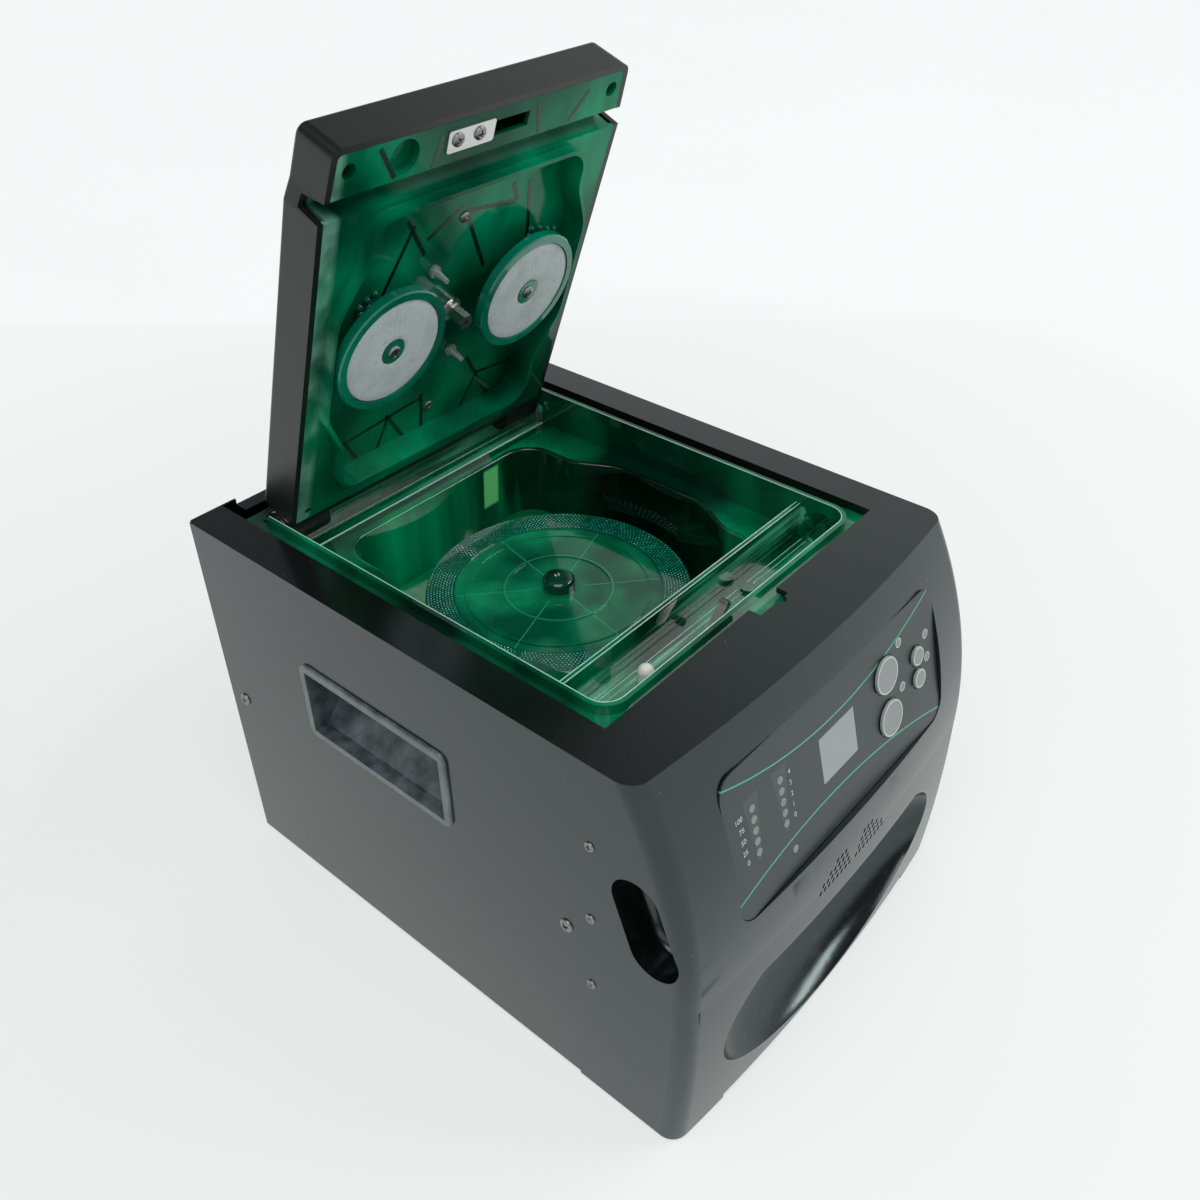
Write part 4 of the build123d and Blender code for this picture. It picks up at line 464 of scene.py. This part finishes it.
def add_mesh(name, verts, faces, material, body, smooth=False):
    mesh = bpy.data.meshes.new(name)
    mesh.from_pydata([tuple(v) for v in verts], [], faces)
    obj = bpy.data.objects.new(name, mesh)
    bpy.context.scene.collection.objects.link(obj)
    if material:
        mesh.materials.append(material)
    if smooth:
        mesh.polygons.foreach_set("use_smooth", [True] * len(mesh.polygons))
    mesh.update()
    if body:
        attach(obj, body)
    return obj


def lathe(name, profile, steps, material, body, place=None, smooth=True):
    """A turned piece: a closed outline of radius and height in millimetres, spun about Z and set at a place."""
    verts, faces = [], []
    count = len(profile)
    for i in range(steps):
        a = 2 * pi * i / steps
        verts += [Vector((r * cos(a), r * sin(a), z)) * MM for r, z in profile]
    for i in range(steps):
        j = (i + 1) % steps
        faces += [(i * count + k, j * count + k, j * count + (k + 1) % count, i * count + (k + 1) % count)
                  for k in range(count)]
    if place:
        verts = [place @ v for v in verts]
    obj = add_mesh(name, verts, faces, material, None, smooth)
    tidy(obj)
    if body:
        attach(obj, body)
    return obj


def tidy(obj, angle=radians(38)):
    """Merges doubles, turns every face outwards and keeps the sharp edges sharp."""
    mesh = bmesh.new()
    mesh.from_mesh(obj.data)
    bmesh.ops.remove_doubles(mesh, verts=mesh.verts, dist=1e-6)
    bmesh.ops.dissolve_degenerate(mesh, edges=mesh.edges, dist=1e-7)
    bmesh.ops.recalc_face_normals(mesh, faces=mesh.faces)
    for edge in mesh.edges:
        if len(edge.link_faces) == 2:
            edge.smooth = edge.calc_face_angle(0.0) < angle
    mesh.to_mesh(obj.data)
    mesh.free()
    obj.data.update()


def lid_place(x, y, z, down=True):
    """A frame at a point of the closed lid, with Z out of its underside, as it stands with the lid open."""
    turn = Matrix.Rotation(-OPEN, 4, "X") @ Matrix.Rotation(pi if down else 0.0, 4, "X")
    return Matrix.Translation(on_lid(x, y, z)) @ turn


def panel_place(x, v, out=0.0):
    """A frame on the control panel, with Z out of it and Y up it."""
    return Matrix.Translation(on_panel(x, v, out)) @ Matrix.Rotation(PANEL_TILT, 4, "X")


class Growth:
    """A geometry tree with named inputs, run once on points or on nothing to make a plain mesh."""

    KINDS = {float: "NodeSocketFloat", int: "NodeSocketInt", bpy.types.Object: "NodeSocketObject",
             bpy.types.Material: "NodeSocketMaterial"}

    def __init__(self, name, **given):
        self.tree = bpy.data.node_groups.new(name, "GeometryNodeTree")
        self.tree.interface.new_socket("Geometry", in_out="INPUT", socket_type="NodeSocketGeometry")
        self.tree.interface.new_socket("Geometry", in_out="OUTPUT", socket_type="NodeSocketGeometry")
        self.values = {}
        for key, value in given.items():
            label = key.replace("_", " ").capitalize()
            kind = next(k for t, k in self.KINDS.items() if isinstance(value, t))
            socket = self.tree.interface.new_socket(label, in_out="INPUT", socket_type=kind)
            self.values[socket.identifier] = value
        self.start = self.tree.nodes.new("NodeGroupInput")
        self.end = self.tree.nodes.new("NodeGroupOutput")

    def given(self, label):
        return self.start.outputs[label]

    def node(self, kind, settings=None, *values, **named):
        node = self.tree.nodes.new(kind)
        for key, value in (settings or {}).items():
            setattr(node, key, value)
        for key, value in list(enumerate(values)) + [(k.replace("_", " "), v) for k, v in named.items()]:
            if isinstance(value, bpy.types.NodeSocket):
                self.tree.links.new(value, node.inputs[key])
            elif value is not None:
                node.inputs[key].default_value = value
        return node

    def finish(self, geometry, material="Material"):
        solid = self.node("GeometryNodeRealizeInstances", None, geometry)
        painted = self.node("GeometryNodeSetMaterial", None, solid.outputs[0], Material=self.given(material))
        self.tree.links.new(painted.outputs[0], self.end.inputs[0])

    def run(self, obj, body):
        """The tree's result as that object's own plain mesh, riding on a body."""
        modifier = obj.modifiers.new("growth", "NODES")
        modifier.node_group = self.tree
        for identifier, value in self.values.items():
            modifier[identifier] = value
        bpy.context.view_layer.update()
        seen = obj.evaluated_get(bpy.context.evaluated_depsgraph_get())
        mesh = bpy.data.meshes.new_from_object(seen)
        obj.modifiers.clear()
        obj.data = mesh
        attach(obj, body)
        return obj


def spots(name, places, sizes=None):
    """Points with the turn and size of what stands on them."""
    obj = add_mesh(name, [place.translation for place in places], [], None, None)
    turn = obj.data.attributes.new("turn", "FLOAT_VECTOR", "POINT")
    turn.data.foreach_set("vector", [c for place in places for c in place.to_euler()])
    size = obj.data.attributes.new("size", "FLOAT", "POINT")
    size.data.foreach_set("value", sizes or [1.0] * len(places))
    return obj


def planted(name, template, places, sizes, material, body):
    """Copies of one template on points, made by a geometry tree."""
    growth = Growth(name + "_tree", template=template, overall_size=1.0, material=material)
    turn = growth.node("GeometryNodeInputNamedAttribute", {"data_type": "FLOAT_VECTOR"}, "turn")
    size = growth.node("GeometryNodeInputNamedAttribute", {"data_type": "FLOAT"}, "size")
    scale = growth.node("ShaderNodeMath", {"operation": "MULTIPLY"}, size.outputs[0], growth.given("Overall size"))
    source = growth.node("GeometryNodeObjectInfo", None, growth.given("Template"))
    copies = growth.node("GeometryNodeInstanceOnPoints", None, growth.given("Geometry"),
                         Instance=source.outputs["Geometry"], Rotation=turn.outputs[0], Scale=scale.outputs[0])
    growth.finish(copies.outputs[0])
    return growth.run(spots(name, places, sizes), body)


def remove(obj):
    mesh = obj.data
    bpy.data.objects.remove(obj)
    bpy.data.meshes.remove(mesh)


# ---------------------------------------------------------------- settings a user would change
class DiscRepairSettings(bpy.types.PropertyGroup):
    grip_rings: IntProperty(name="Grip rings", description="Rows of points across the platter's outer ring", default=9,
                            min=1, max=14)
    grip_points: IntProperty(name="Grip points", description="Points in each row of the platter's outer ring",
                             default=190, min=12, max=400)
    lens: FloatProperty(name="Lens", description="Camera focal length", default=35.29, min=10.0, unit="CAMERA")
    floor_colour: FloatVectorProperty(name="Floor", description="Colour of the floor and backdrop", size=3,
                                      subtype="COLOR", default=(0.93, 0.97, 0.96), min=0.0, max=1.0)
    key_power: FloatProperty(name="Key light", description="Power of the large light overhead", default=10.0,
                             min=0.0, unit="POWER")
    fill_power: FloatProperty(name="Side light", description="Power of the strip light at the right", default=6.5, min=0.0,
                              unit="POWER")
    even_light: FloatProperty(name="Even light", description="Strength of the plain light from all round",
                              default=0.4, min=0.0)
    backdrop_colour: FloatVectorProperty(name="Backdrop", description="Colour seen behind the floor", size=3,
                                         subtype="COLOR", default=(0.95, 0.98, 0.978), min=0.0, max=1.0)


class Step(bpy.types.Operator):
    """Base of this machine's operators."""
    bl_options = {"REGISTER", "UNDO"}

    def execute(self, context):
        self.make(context.scene.disc_repair)
        return {"FINISHED"}


class OBJECT_OT_disc_repair_finishes(Step, bpy.types.Operator):
    """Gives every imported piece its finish"""
    bl_idname = "object.disc_repair_finishes"
    bl_label = "Finishes"

    def make(self, settings):
        slots = {entry["node"]: entry["material_slot"] for entry in frame["record"]["subparts"]}
        for name, obj in frame["nodes"].items():
            dress(obj, finish(NODE_FINISH.get(name, slots[name])))


class OBJECT_OT_disc_repair_stage(Step, bpy.types.Operator):
    """Sets the floor, the soft lights and the camera"""
    bl_idname = "object.disc_repair_stage"
    bl_label = "Stage and camera"

    def make(self, settings):
        self.floor(settings)
        self.world(settings)
        self.lamp("key_light", (-0.55, -0.35, 1.35), (0.0, 0.0, 0.15), 1.0, 1.0, settings.key_power)
        self.lamp("side_light", (0.92, -0.78, 1.15), (0.0, -0.1, 0.15), 0.9, 0.3, settings.fill_power)
        self.camera(settings)

    def seen_ray(self, tree):
        """1 for camera, mirror and glass rays, and 0 for the light that falls on the object."""
        path = tree.nodes.new("ShaderNodeLightPath")
        value = path.outputs["Is Camera Ray"]
        for other in ("Is Glossy Ray", "Is Transmission Ray"):
            node = tree.nodes.new("ShaderNodeMath")
            node.operation = "MAXIMUM"
            tree.links.new(value, node.inputs[0])
            tree.links.new(path.outputs[other], node.inputs[1])
            value = node.outputs[0]
        return value

    def floor(self, settings):
        f = Finish("pale_floor", Roughness=0.6)
        x, y, z = f.axes(f.place())
        away = x * 0.76 + y * 0.65
        # painted shade: the floor a little darker towards the left of the view
        right = (x * 0.65 - y * 0.76).span(-0.5, 0.5)
        near, beyond = tuple(settings.floor_colour), tuple(settings.backdrop_colour)
        colour = f.blend(right, tuple(c * 0.965 for c in near), near)
        colour = f.blend(f.noise(3, 2.0) * 0.5 + (away > 0.645) * 0.5, colour, beyond)
        f.drive(Base_Color=colour)
        glow = f.node("ShaderNodeEmission", None, colour, 1.0)
        share = f.node("ShaderNodeMath", {"operation": "MULTIPLY"}, self.seen_ray(f.tree),
                       (x * x + y * y).root().span(0.3, 0.75) * 0.36 + 0.58)
        mix = f.node("ShaderNodeMixShader", None, share.outputs[0], f.shader.outputs[0], glow.outputs[0])
        f.tree.links.new(mix.outputs[0], f.tree.nodes["Material Output"].inputs["Surface"])
        size = 6.0
        obj = add_mesh("floor", [(-size, -size, 0), (size, -size, 0), (size, size, 0), (-size, size, 0)],
                       [(0, 1, 2, 3)], f.material, None)

    def world(self, settings):
        """A pale backdrop near the floor under a darker ceiling, and an even plain light."""
        world = bpy.data.worlds.new("studio")
        world.use_nodes = True
        tree = world.node_tree
        tree.nodes.clear()
        where = tree.nodes.new("ShaderNodeTexCoord")
        split = tree.nodes.new("ShaderNodeSeparateXYZ")
        tree.links.new(where.outputs["Generated"], split.inputs[0])
        steps = []
        for axis, (low, high, at_low, at_high) in ((0, (0.46, 0.74, 0.14, 0.6)), (2, (0.2, 0.52, 0.0, 1.0))):
            step = tree.nodes.new("ShaderNodeMapRange")
            step.interpolation_type = "SMOOTHSTEP"
            for socket, value in zip(step.inputs[1:5], (low, high, at_low, at_high)):
                socket.default_value = value
            tree.links.new(split.outputs[axis], step.inputs[0])
            steps.append(step)
        level = tree.nodes.new("ShaderNodeMix")
        level.inputs[2].default_value = 1.0
        tree.links.new(steps[1].outputs[0], level.inputs[0])
        tree.links.new(steps[0].outputs[0], level.inputs[3])
        plain = tree.nodes.new("ShaderNodeBackground")
        plain.inputs[0].default_value = (0.93, 0.98, 0.97, 1.0)
        plain.inputs[1].default_value = settings.even_light
        pale = tree.nodes.new("ShaderNodeBackground")
        pale.inputs[0].default_value = (*settings.backdrop_colour, 1.0)
        tree.links.new(level.outputs[0], pale.inputs[1])
        mix = tree.nodes.new("ShaderNodeMixShader")
        out = tree.nodes.new("ShaderNodeOutputWorld")
        tree.links.new(self.seen_ray(tree), mix.inputs[0])
        tree.links.new(plain.outputs[0], mix.inputs[1])
        tree.links.new(pale.outputs[0], mix.inputs[2])
        tree.links.new(mix.outputs[0], out.inputs[0])
        bpy.context.scene.world = world
        bpy.context.scene.view_settings.view_transform = "Standard"

    def lamp(self, name, spot, target, wide, high, power):
        data = bpy.data.lights.new(name, "AREA")
        data.shape = "RECTANGLE"
        data.size = wide
        data.size_y = high
        data.energy = power
        obj = bpy.data.objects.new(name, data)
        bpy.context.scene.collection.objects.link(obj)
        obj.location = spot
        obj.rotation_euler = (Vector(target) - Vector(spot)).to_track_quat("-Z", "Y").to_euler()

    def camera(self, settings):
        data = bpy.data.cameras.new("photo_camera")
        data.lens = settings.lens
        data.sensor_width = 36.0
        data.clip_start = 0.02
        obj = bpy.data.objects.new("photo_camera", data)
        bpy.context.scene.collection.objects.link(obj)
        forward = Vector((0.6044, 0.5169, -0.6063)).normalized()
        right = forward.cross(Vector((0, 0, 1))).normalized()
        up = right.cross(forward)
        roll = radians(-0.388)
        turned = right * cos(roll) + up * sin(roll)
        upright = up * cos(roll) - right * sin(roll)
        place = Matrix((turned, upright, -forward)).transposed().to_4x4()
        place.translation = Vector((-0.3121, -0.2699, 0.4700))
        obj.matrix_world = place
        bpy.context.scene.camera = obj


def cross_screw(name):
    """A pan-head screw of 1 mm head radius with a cross recess, standing on Z = 0."""
    head = lathe(name, [(0.0, 0.0), (1.0, 0.0), (1.0, 0.14), (0.95, 0.24), (0.82, 0.32), (0.6, 0.37), (0.3, 0.4),
                        (0.0, 0.4)], 32, None, None)
    verts, faces = [], []
    for turn in (0.0, pi / 2):
        base = len(verts)
        for z, long, wide in ((0.08, 0.35, 0.09), (0.5, 0.68, 0.15)):
            for sx, sy in ((-1, -1), (1, -1), (1, 1), (-1, 1)):
                verts.append(Matrix.Rotation(turn, 3, "Z") @ (Vector((sx * long, sy * wide, z)) * MM))
        faces += [tuple(base + i for i in f) for f in
                  ((3, 2, 1, 0), (4, 5, 6, 7), (0, 1, 5, 4), (1, 2, 6, 5), (2, 3, 7, 6), (3, 0, 4, 7))]
    cutter = add_mesh(name + "_cross", verts, faces, None, None)
    modifier = head.modifiers.new("cross", "BOOLEAN")
    modifier.operation = "DIFFERENCE"
    modifier.solver = "EXACT"
    modifier.use_self = True
    modifier.object = cutter
    bpy.context.view_layer.update()
    seen = head.evaluated_get(bpy.context.evaluated_depsgraph_get())
    mesh = bpy.data.meshes.new_from_object(seen)
    head.modifiers.clear()
    head.data = mesh
    remove(cutter)
    return head


class OBJECT_OT_disc_repair_screws(Step, bpy.types.Operator):
    """Sets cross-head screws in the cabinet, the lid and the pads"""
    bl_idname = "object.disc_repair_screws"
    bl_label = "Screws"

    def make(self, settings):
        template = cross_screw("screw_head")
        side_turn = {1: Matrix.Rotation(pi / 2, 4, "Y"), -1: Matrix.Rotation(-pi / 2, 4, "Y")}
        cabinet, sizes = [], []
        for side, turn in side_turn.items():
            for i, (y, z) in enumerate([(-75.8, 98.0), (126.8, 96.7), (-88, 152), (-88, 112), (-88, 71.6)]):
                place = Matrix.Translation(Vector((side * 106.0, y, z)) * MM) @ turn
                cabinet.append(place @ Matrix.Rotation(0.5 + i * 1.3, 4, "Z"))
                sizes.append(3.1 if i < 2 else 2.2)
        lid = [lid_place(-17.9, -62.9, 176.2), lid_place(-7.1, -62.9, 176.2), lid_place(3.0, -19.6, 184.4),
               lid_place(3.0, 80.4, 184.4)]
        lid = [place @ Matrix.Rotation(0.6 + i, 4, "Z") for i, place in enumerate(lid)]
        groups = [("cabinet_screw_heads", cabinet, sizes, "cabinet", ["cabinet_screws"]),
                  ("lid_screw_heads", lid, [2.7, 2.7, 2.5, 2.5], "lid", ["lid_screws"])]
        for name, side in (("left", -1), ("right", 1)):
            groups.append((f"pad_screw_head_{name}", [lid_place(side * 38.6, 21.4, 171.5)], [2.9], "pad_" + name,
                           ["pad_screw_" + name]))
        for name, places, sizes, body, nodes in groups:
            heads = planted(name, template, places, sizes, finish("screw_steel"), body)
            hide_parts(*nodes)
        remove(template)


class OBJECT_OT_disc_repair_pads(Step, bpy.types.Operator):
    """Makes the two polishing pads with their crowned face"""
    bl_idname = "object.disc_repair_pads"
    bl_label = "Polishing pads"

    def make(self, settings):
        for name, side in (("left", -1), ("right", 1)):
            profile = [(5.75, 0.0), (23.85, 0.0), (23.9, 0.8), (23.6, 1.35), (22.7, 1.58), (20.0, 1.6), (9.0, 1.6),
                       (6.6, 1.56), (5.9, 1.3)]
            pad = lathe(f"pad_face_{name}", profile, 96, finish("pad_foam"), None,
                        lid_place(side * 38.6, 21.4, 173.1))
            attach(pad, "pad_" + name)
            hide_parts("polishing_pad_" + name)


class OBJECT_OT_disc_repair_knurl(Step, bpy.types.Operator):
    """Covers the platter's outer ring with rows of small raised points"""
    bl_idname = "object.disc_repair_knurl"
    bl_label = "Platter grip ring"

    def make(self, settings):
        verts = [Vector(v) * MM for v in ((-0.42, -0.42, 0), (0.42, -0.42, 0), (0.42, 0.42, 0), (-0.42, 0.42, 0),
                                          (0, 0, 0.32))]
        point = add_mesh("grip_point", verts, [(3, 2, 1, 0), (0, 1, 4), (1, 2, 4), (2, 3, 4), (3, 0, 4)], None, None)
        growth = Growth("grip_ring_tree", template=point, rings=settings.grip_rings, points=settings.grip_points,
                        inner_radius=48.2 * MM, ring_step=1.32 * MM, level=152.95 * MM, material=finish("green_points"))
        index = growth.node("GeometryNodeInputIndex").outputs[0]
        ring = growth.node("ShaderNodeMath", {"operation": "DIVIDE"}, index, growth.given("Points"))
        ring = growth.node("ShaderNodeMath", {"operation": "FLOOR"}, ring.outputs[0])
        angle = growth.node("ShaderNodeMath", {"operation": "DIVIDE"}, index, growth.given("Points"))
        half = growth.node("ShaderNodeMath", {"operation": "MULTIPLY"}, ring.outputs[0], 0.5)
        shift = growth.node("ShaderNodeMath", {"operation": "DIVIDE"}, half.outputs[0], growth.given("Points"))
        angle = growth.node("ShaderNodeMath", {"operation": "ADD"}, angle.outputs[0], shift.outputs[0])
        angle = growth.node("ShaderNodeMath", {"operation": "MULTIPLY"}, angle.outputs[0], 2 * pi)
        radius = growth.node("ShaderNodeMath", {"operation": "MULTIPLY_ADD"}, ring.outputs[0],
                             growth.given("Ring step"), growth.given("Inner radius"))
        sine = growth.node("ShaderNodeMath", {"operation": "SINE"}, angle.outputs[0])
        cosine = growth.node("ShaderNodeMath", {"operation": "COSINE"}, angle.outputs[0])
        x = growth.node("ShaderNodeMath", {"operation": "MULTIPLY"}, radius.outputs[0], cosine.outputs[0])
        y = growth.node("ShaderNodeMath", {"operation": "MULTIPLY_ADD"}, radius.outputs[0], sine.outputs[0], PLATTER.y)
        spot = growth.node("ShaderNodeCombineXYZ", None, x.outputs[0], y.outputs[0], growth.given("Level"))
        turn = growth.node("ShaderNodeCombineXYZ", None, 0.0, 0.0, angle.outputs[0])
        total = growth.node("ShaderNodeMath", {"operation": "MULTIPLY"}, growth.given("Rings"), growth.given("Points"))
        points = growth.node("GeometryNodePoints", None, total.outputs[0], spot.outputs[0])
        source = growth.node("GeometryNodeObjectInfo", None, growth.given("Template"))
        copies = growth.node("GeometryNodeInstanceOnPoints", None, points.outputs[0],
                             Instance=source.outputs["Geometry"], Rotation=turn.outputs[0])
        growth.finish(copies.outputs[0])
        ring_piece = growth.run(add_mesh("platter_grip_ring", [], [], None, None), "platter")
        remove(point)


LIGHT_SPOTS = [(x, 23.7 + 5 * i) for x in (-59.6, -41.7) for i in range(5)] + [(-38.8, 9.3)]
RING_SPOTS = [(46.7, 51.9), (46.7, 30.7), (68.0, 44.2), (68.1, 33.0)]
KEYS = [(34.4, 43.7, 8.2, "key_upper"), (34.9, 22.7, 8.2, "key_lower"), (59.2, 38.5, 4.4, "key_option_upper"),
        (59.2, 27.5, 4.4, "key_option_lower")]


class OBJECT_OT_disc_repair_rings(Step, bpy.types.Operator):
    """Prints the pale rings round the keys and the ring lights"""
    bl_idname = "object.disc_repair_rings"
    bl_label = "Printed rings"

    def make(self, settings):
        def ring(name, inner, outer):
            return lathe(name, [(inner, 0.0), (outer, 0.0), (outer, 0.08), (inner, 0.08)], 48, None, None)

        small = ring("light_ring", 1.75, 2.15)
        places = [panel_place(x, v, 0.02) for x, v in RING_SPOTS]
        planted("light_rings", small, places, None, finish("pale_print"), "cabinet")
        remove(small)
        for x, v, r, name in KEYS:
            edge = ring("key_edge", r - 0.85, r - 0.3)
            places = [panel_place(x, v, 1.5)]
            planted(name + "_ring", edge, places, None, finish("pale_print"), name)
            remove(edge)


class OBJECT_OT_disc_repair_numbers(Step, bpy.types.Operator):
    """Prints the plain numbers beside the two rows of lights"""
    bl_idname = "object.disc_repair_numbers"
    bl_label = "Panel numbers"

    def make(self, settings):
        labels = [(text, -65.6, v) for text, (x, v) in zip(("0", "25", "50", "75", "100"), LIGHT_SPOTS[:5])]
        labels += [(text, -36.6, v) for text, (x, v) in zip(("0", "1", "2", "3", "4"), LIGHT_SPOTS[5:10])]
        for i, (text, x, v) in enumerate(labels):
            curve = bpy.data.curves.new(f"number_{i}", "FONT")
            curve.body = text
            curve.size = 3.1 * MM
            curve.align_x = "RIGHT" if i < 5 else "LEFT"
            curve.align_y = "CENTER"
            curve.extrude = 0.02 * MM
            label = bpy.data.objects.new(f"number_{i}_text", curve)
            bpy.context.scene.collection.objects.link(label)
            bpy.context.view_layer.update()
            seen = label.evaluated_get(bpy.context.evaluated_depsgraph_get())
            mesh = bpy.data.meshes.new_from_object(seen)
            mesh.transform(panel_place(x, v, 0.05))
            bpy.data.objects.remove(label)
            obj = bpy.data.objects.new(f"panel_number_{i}", mesh)
            bpy.context.scene.collection.objects.link(obj)
            dress(obj, finish("pale_print"))
            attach(obj, "cabinet")


# rib lines seen through the liner, across and along the closed lid in millimetres
RIB_SHADOWS = [(39, -26, 46, 4), (-28, -27, -16, -8), (4, -21, 21, 10), (-36, 4, -24, -24), (-16, -15, 2, -25),
               (3, -22, 33, -18), (29, -27, 34, -18), (-3, 71, 4, 108), (-48, 79, -3, 73), (-47, 77, -28, 108),
               (-23, 74, -5, 101), (-29, 107, -22, 76), (-12, 106, -5, 100), (22, 103, 33, 73), (23, 61, 54, 108),
               (32, 74, 63, 77), (64, 80, 72, 102), (35, 99, 71, 104)]
LIP_SHADOWS = [(-28, -54, -25, -66), (44, -55, 53, -66), (27, -54, 24, -67), (-46, -55, -54, -68)]
LINER_BUMPS = [(-47.7, 5.5), (-44.1, 3.2), (-40.4, 1.6), (-47, 8.8), (-43, 7), (47, 0), (52.6, 1), (58, 3),
               (63.2, 4.7), (46.7, 3.4), (52, 5)]


class OBJECT_OT_disc_repair_liner(Step, bpy.types.Operator):
    """Lays the lid's rib shadows and the small bumps on the liner"""
    bl_idname = "object.disc_repair_liner"
    bl_label = "Liner details"

    def make(self, settings):
        verts, faces = [], []
        for lines, level in ((RIB_SHADOWS, 184.4), (LIP_SHADOWS, 177.0)):
            for ax, ay, bx, by in lines:
                along = Vector((bx - ax, by - ay, 0)).normalized()
                aside = Vector((-along.y, along.x, 0)) * 0.95
                base = len(verts)
                for z in (level - 0.1, level + 0.05):
                    for x, y, way in ((ax, ay, 1), (ax, ay, -1), (bx, by, -1), (bx, by, 1)):
                        verts.append(on_lid(x + aside.x * way, y + aside.y * way, z))
                faces += [tuple(base + i for i in f) for f in
                          ((0, 1, 2, 3), (7, 6, 5, 4), (0, 4, 5, 1), (1, 5, 6, 2), (2, 6, 7, 3), (3, 7, 4, 0))]
        lines = add_mesh("liner_rib_lines", verts, faces, finish("green_shadow"), None)
        tidy(lines)
        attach(lines, "lid")
        dome = lathe("bump", [(0.0, -0.1), (1.0, -0.1), (0.97, 0.25), (0.85, 0.52), (0.6, 0.77), (0.3, 0.88), (0.0, 0.9)],
                     20, None, None)
        places = [lid_place(x, y, 184.4) for x, y in LINER_BUMPS]
        planted("liner_bumps", dome, places, [1.7] * len(places), finish("green_holder"), "lid")
        remove(dome)


class OBJECT_OT_disc_repair_highlight_beads(Step, bpy.types.Operator):
    """Draws thin pale beads along the green mouldings' edges and folds as painted highlight lines"""
    bl_idname = "object.disc_repair_edges"
    bl_label = "Painted edge highlights"

    def make(self, settings):
        for name, body, radius, closed, points in self.runs():
            curve = bpy.data.curves.new(name, "CURVE")
            curve.dimensions = "3D"
            curve.bevel_depth = radius * MM
            curve.bevel_resolution = 2
            spline = curve.splines.new("POLY")
            spline.points.add(len(points) - 1)
            for point, place in zip(spline.points, points):
                point.co = (*place, 1.0)
            spline.use_cyclic_u = closed
            line = bpy.data.objects.new(name + "_line", curve)
            bpy.context.scene.collection.objects.link(line)
            bpy.context.view_layer.update()
            mesh = bpy.data.meshes.new_from_object(line.evaluated_get(bpy.context.evaluated_depsgraph_get()))
            bpy.data.objects.remove(line)
            obj = bpy.data.objects.new(name, mesh)
            bpy.context.scene.collection.objects.link(obj)
            mesh.polygons.foreach_set("use_smooth", [True] * len(mesh.polygons))
            dress(obj, finish("green_painted_highlight"))
            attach(obj, body)

    def runs(self):
        def rounded(half, front, rear, radius, z):
            """Down the left side, round the two front corners and up the right side."""
            corner = [(half - radius + radius * cos(a), front + radius - radius * sin(a))
                      for a in [pi / 2 - i * pi / 16 for i in range(9)]]
            right = corner + [(half, rear)]
            left = [(-x, y) for x, y in right[::-1]]
            return [Vector((x, y, z)) * MM for x, y in left + right]

        def across(half, y, z):
            return [Vector((x, y, z)) * MM for x in (-half, half)]

        # pale beads where highlight lines fall on the mouldings: painted highlights
        return [("rim_inner_edge", "cabinet", 0.26, False, rounded(81.0, -75.5, 115.0, 9.0, 191.95)),
                ("divider_edge_front", "cabinet", 0.24, False, across(80.9, -50.9, 187.1)),
                ("divider_edge_rear", "cabinet", 0.28, False, across(80.9, -49.1, 187.1)),
                ("channel_line_rear", "cabinet", 0.22, False, across(80.9, -53.6, 169.05)),
                ("channel_line_front", "cabinet", 0.18, False, across(80.9, -56.2, 169.05)),
                ("trough_line_rear", "cabinet", 0.22, False, across(80.9, 117.0, 169.05)),
                ("trough_line_front", "cabinet", 0.45, False, across(80.9, 105.2, 172.6))]


STEPS = [OBJECT_OT_disc_repair_finishes, OBJECT_OT_disc_repair_screws, OBJECT_OT_disc_repair_pads,
         OBJECT_OT_disc_repair_knurl, OBJECT_OT_disc_repair_liner, OBJECT_OT_disc_repair_highlight_beads,
         OBJECT_OT_disc_repair_rings, OBJECT_OT_disc_repair_numbers,
         OBJECT_OT_disc_repair_stage]


class VIEW3D_PT_disc_repair(bpy.types.Panel):
    """The machine's sizes, colours and steps"""
    bl_label = "Disc repair machine"
    bl_idname = "VIEW3D_PT_disc_repair"
    bl_space_type = "VIEW_3D"
    bl_region_type = "UI"
    bl_category = "Disc repair"

    def draw(self, context):
        settings = context.scene.disc_repair
        for name in settings.bl_rna.properties.keys():
            if name not in ("rna_type", "name"):
                self.layout.prop(settings, name)
        for step in STEPS:
            self.layout.operator(step.bl_idname)


CLASSES = [DiscRepairSettings] + STEPS + [VIEW3D_PT_disc_repair]


def register():
    for cls in CLASSES:
        bpy.utils.register_class(cls)
    bpy.types.Scene.disc_repair = PointerProperty(type=DiscRepairSettings)


def unregister():
    del bpy.types.Scene.disc_repair
    for cls in reversed(CLASSES):
        bpy.utils.unregister_class(cls)


def main():
    register()
    for step in STEPS:
        group, name = step.bl_idname.split(".")
        getattr(getattr(bpy.ops, group), name)()


if __name__ == "__main__":
    main()
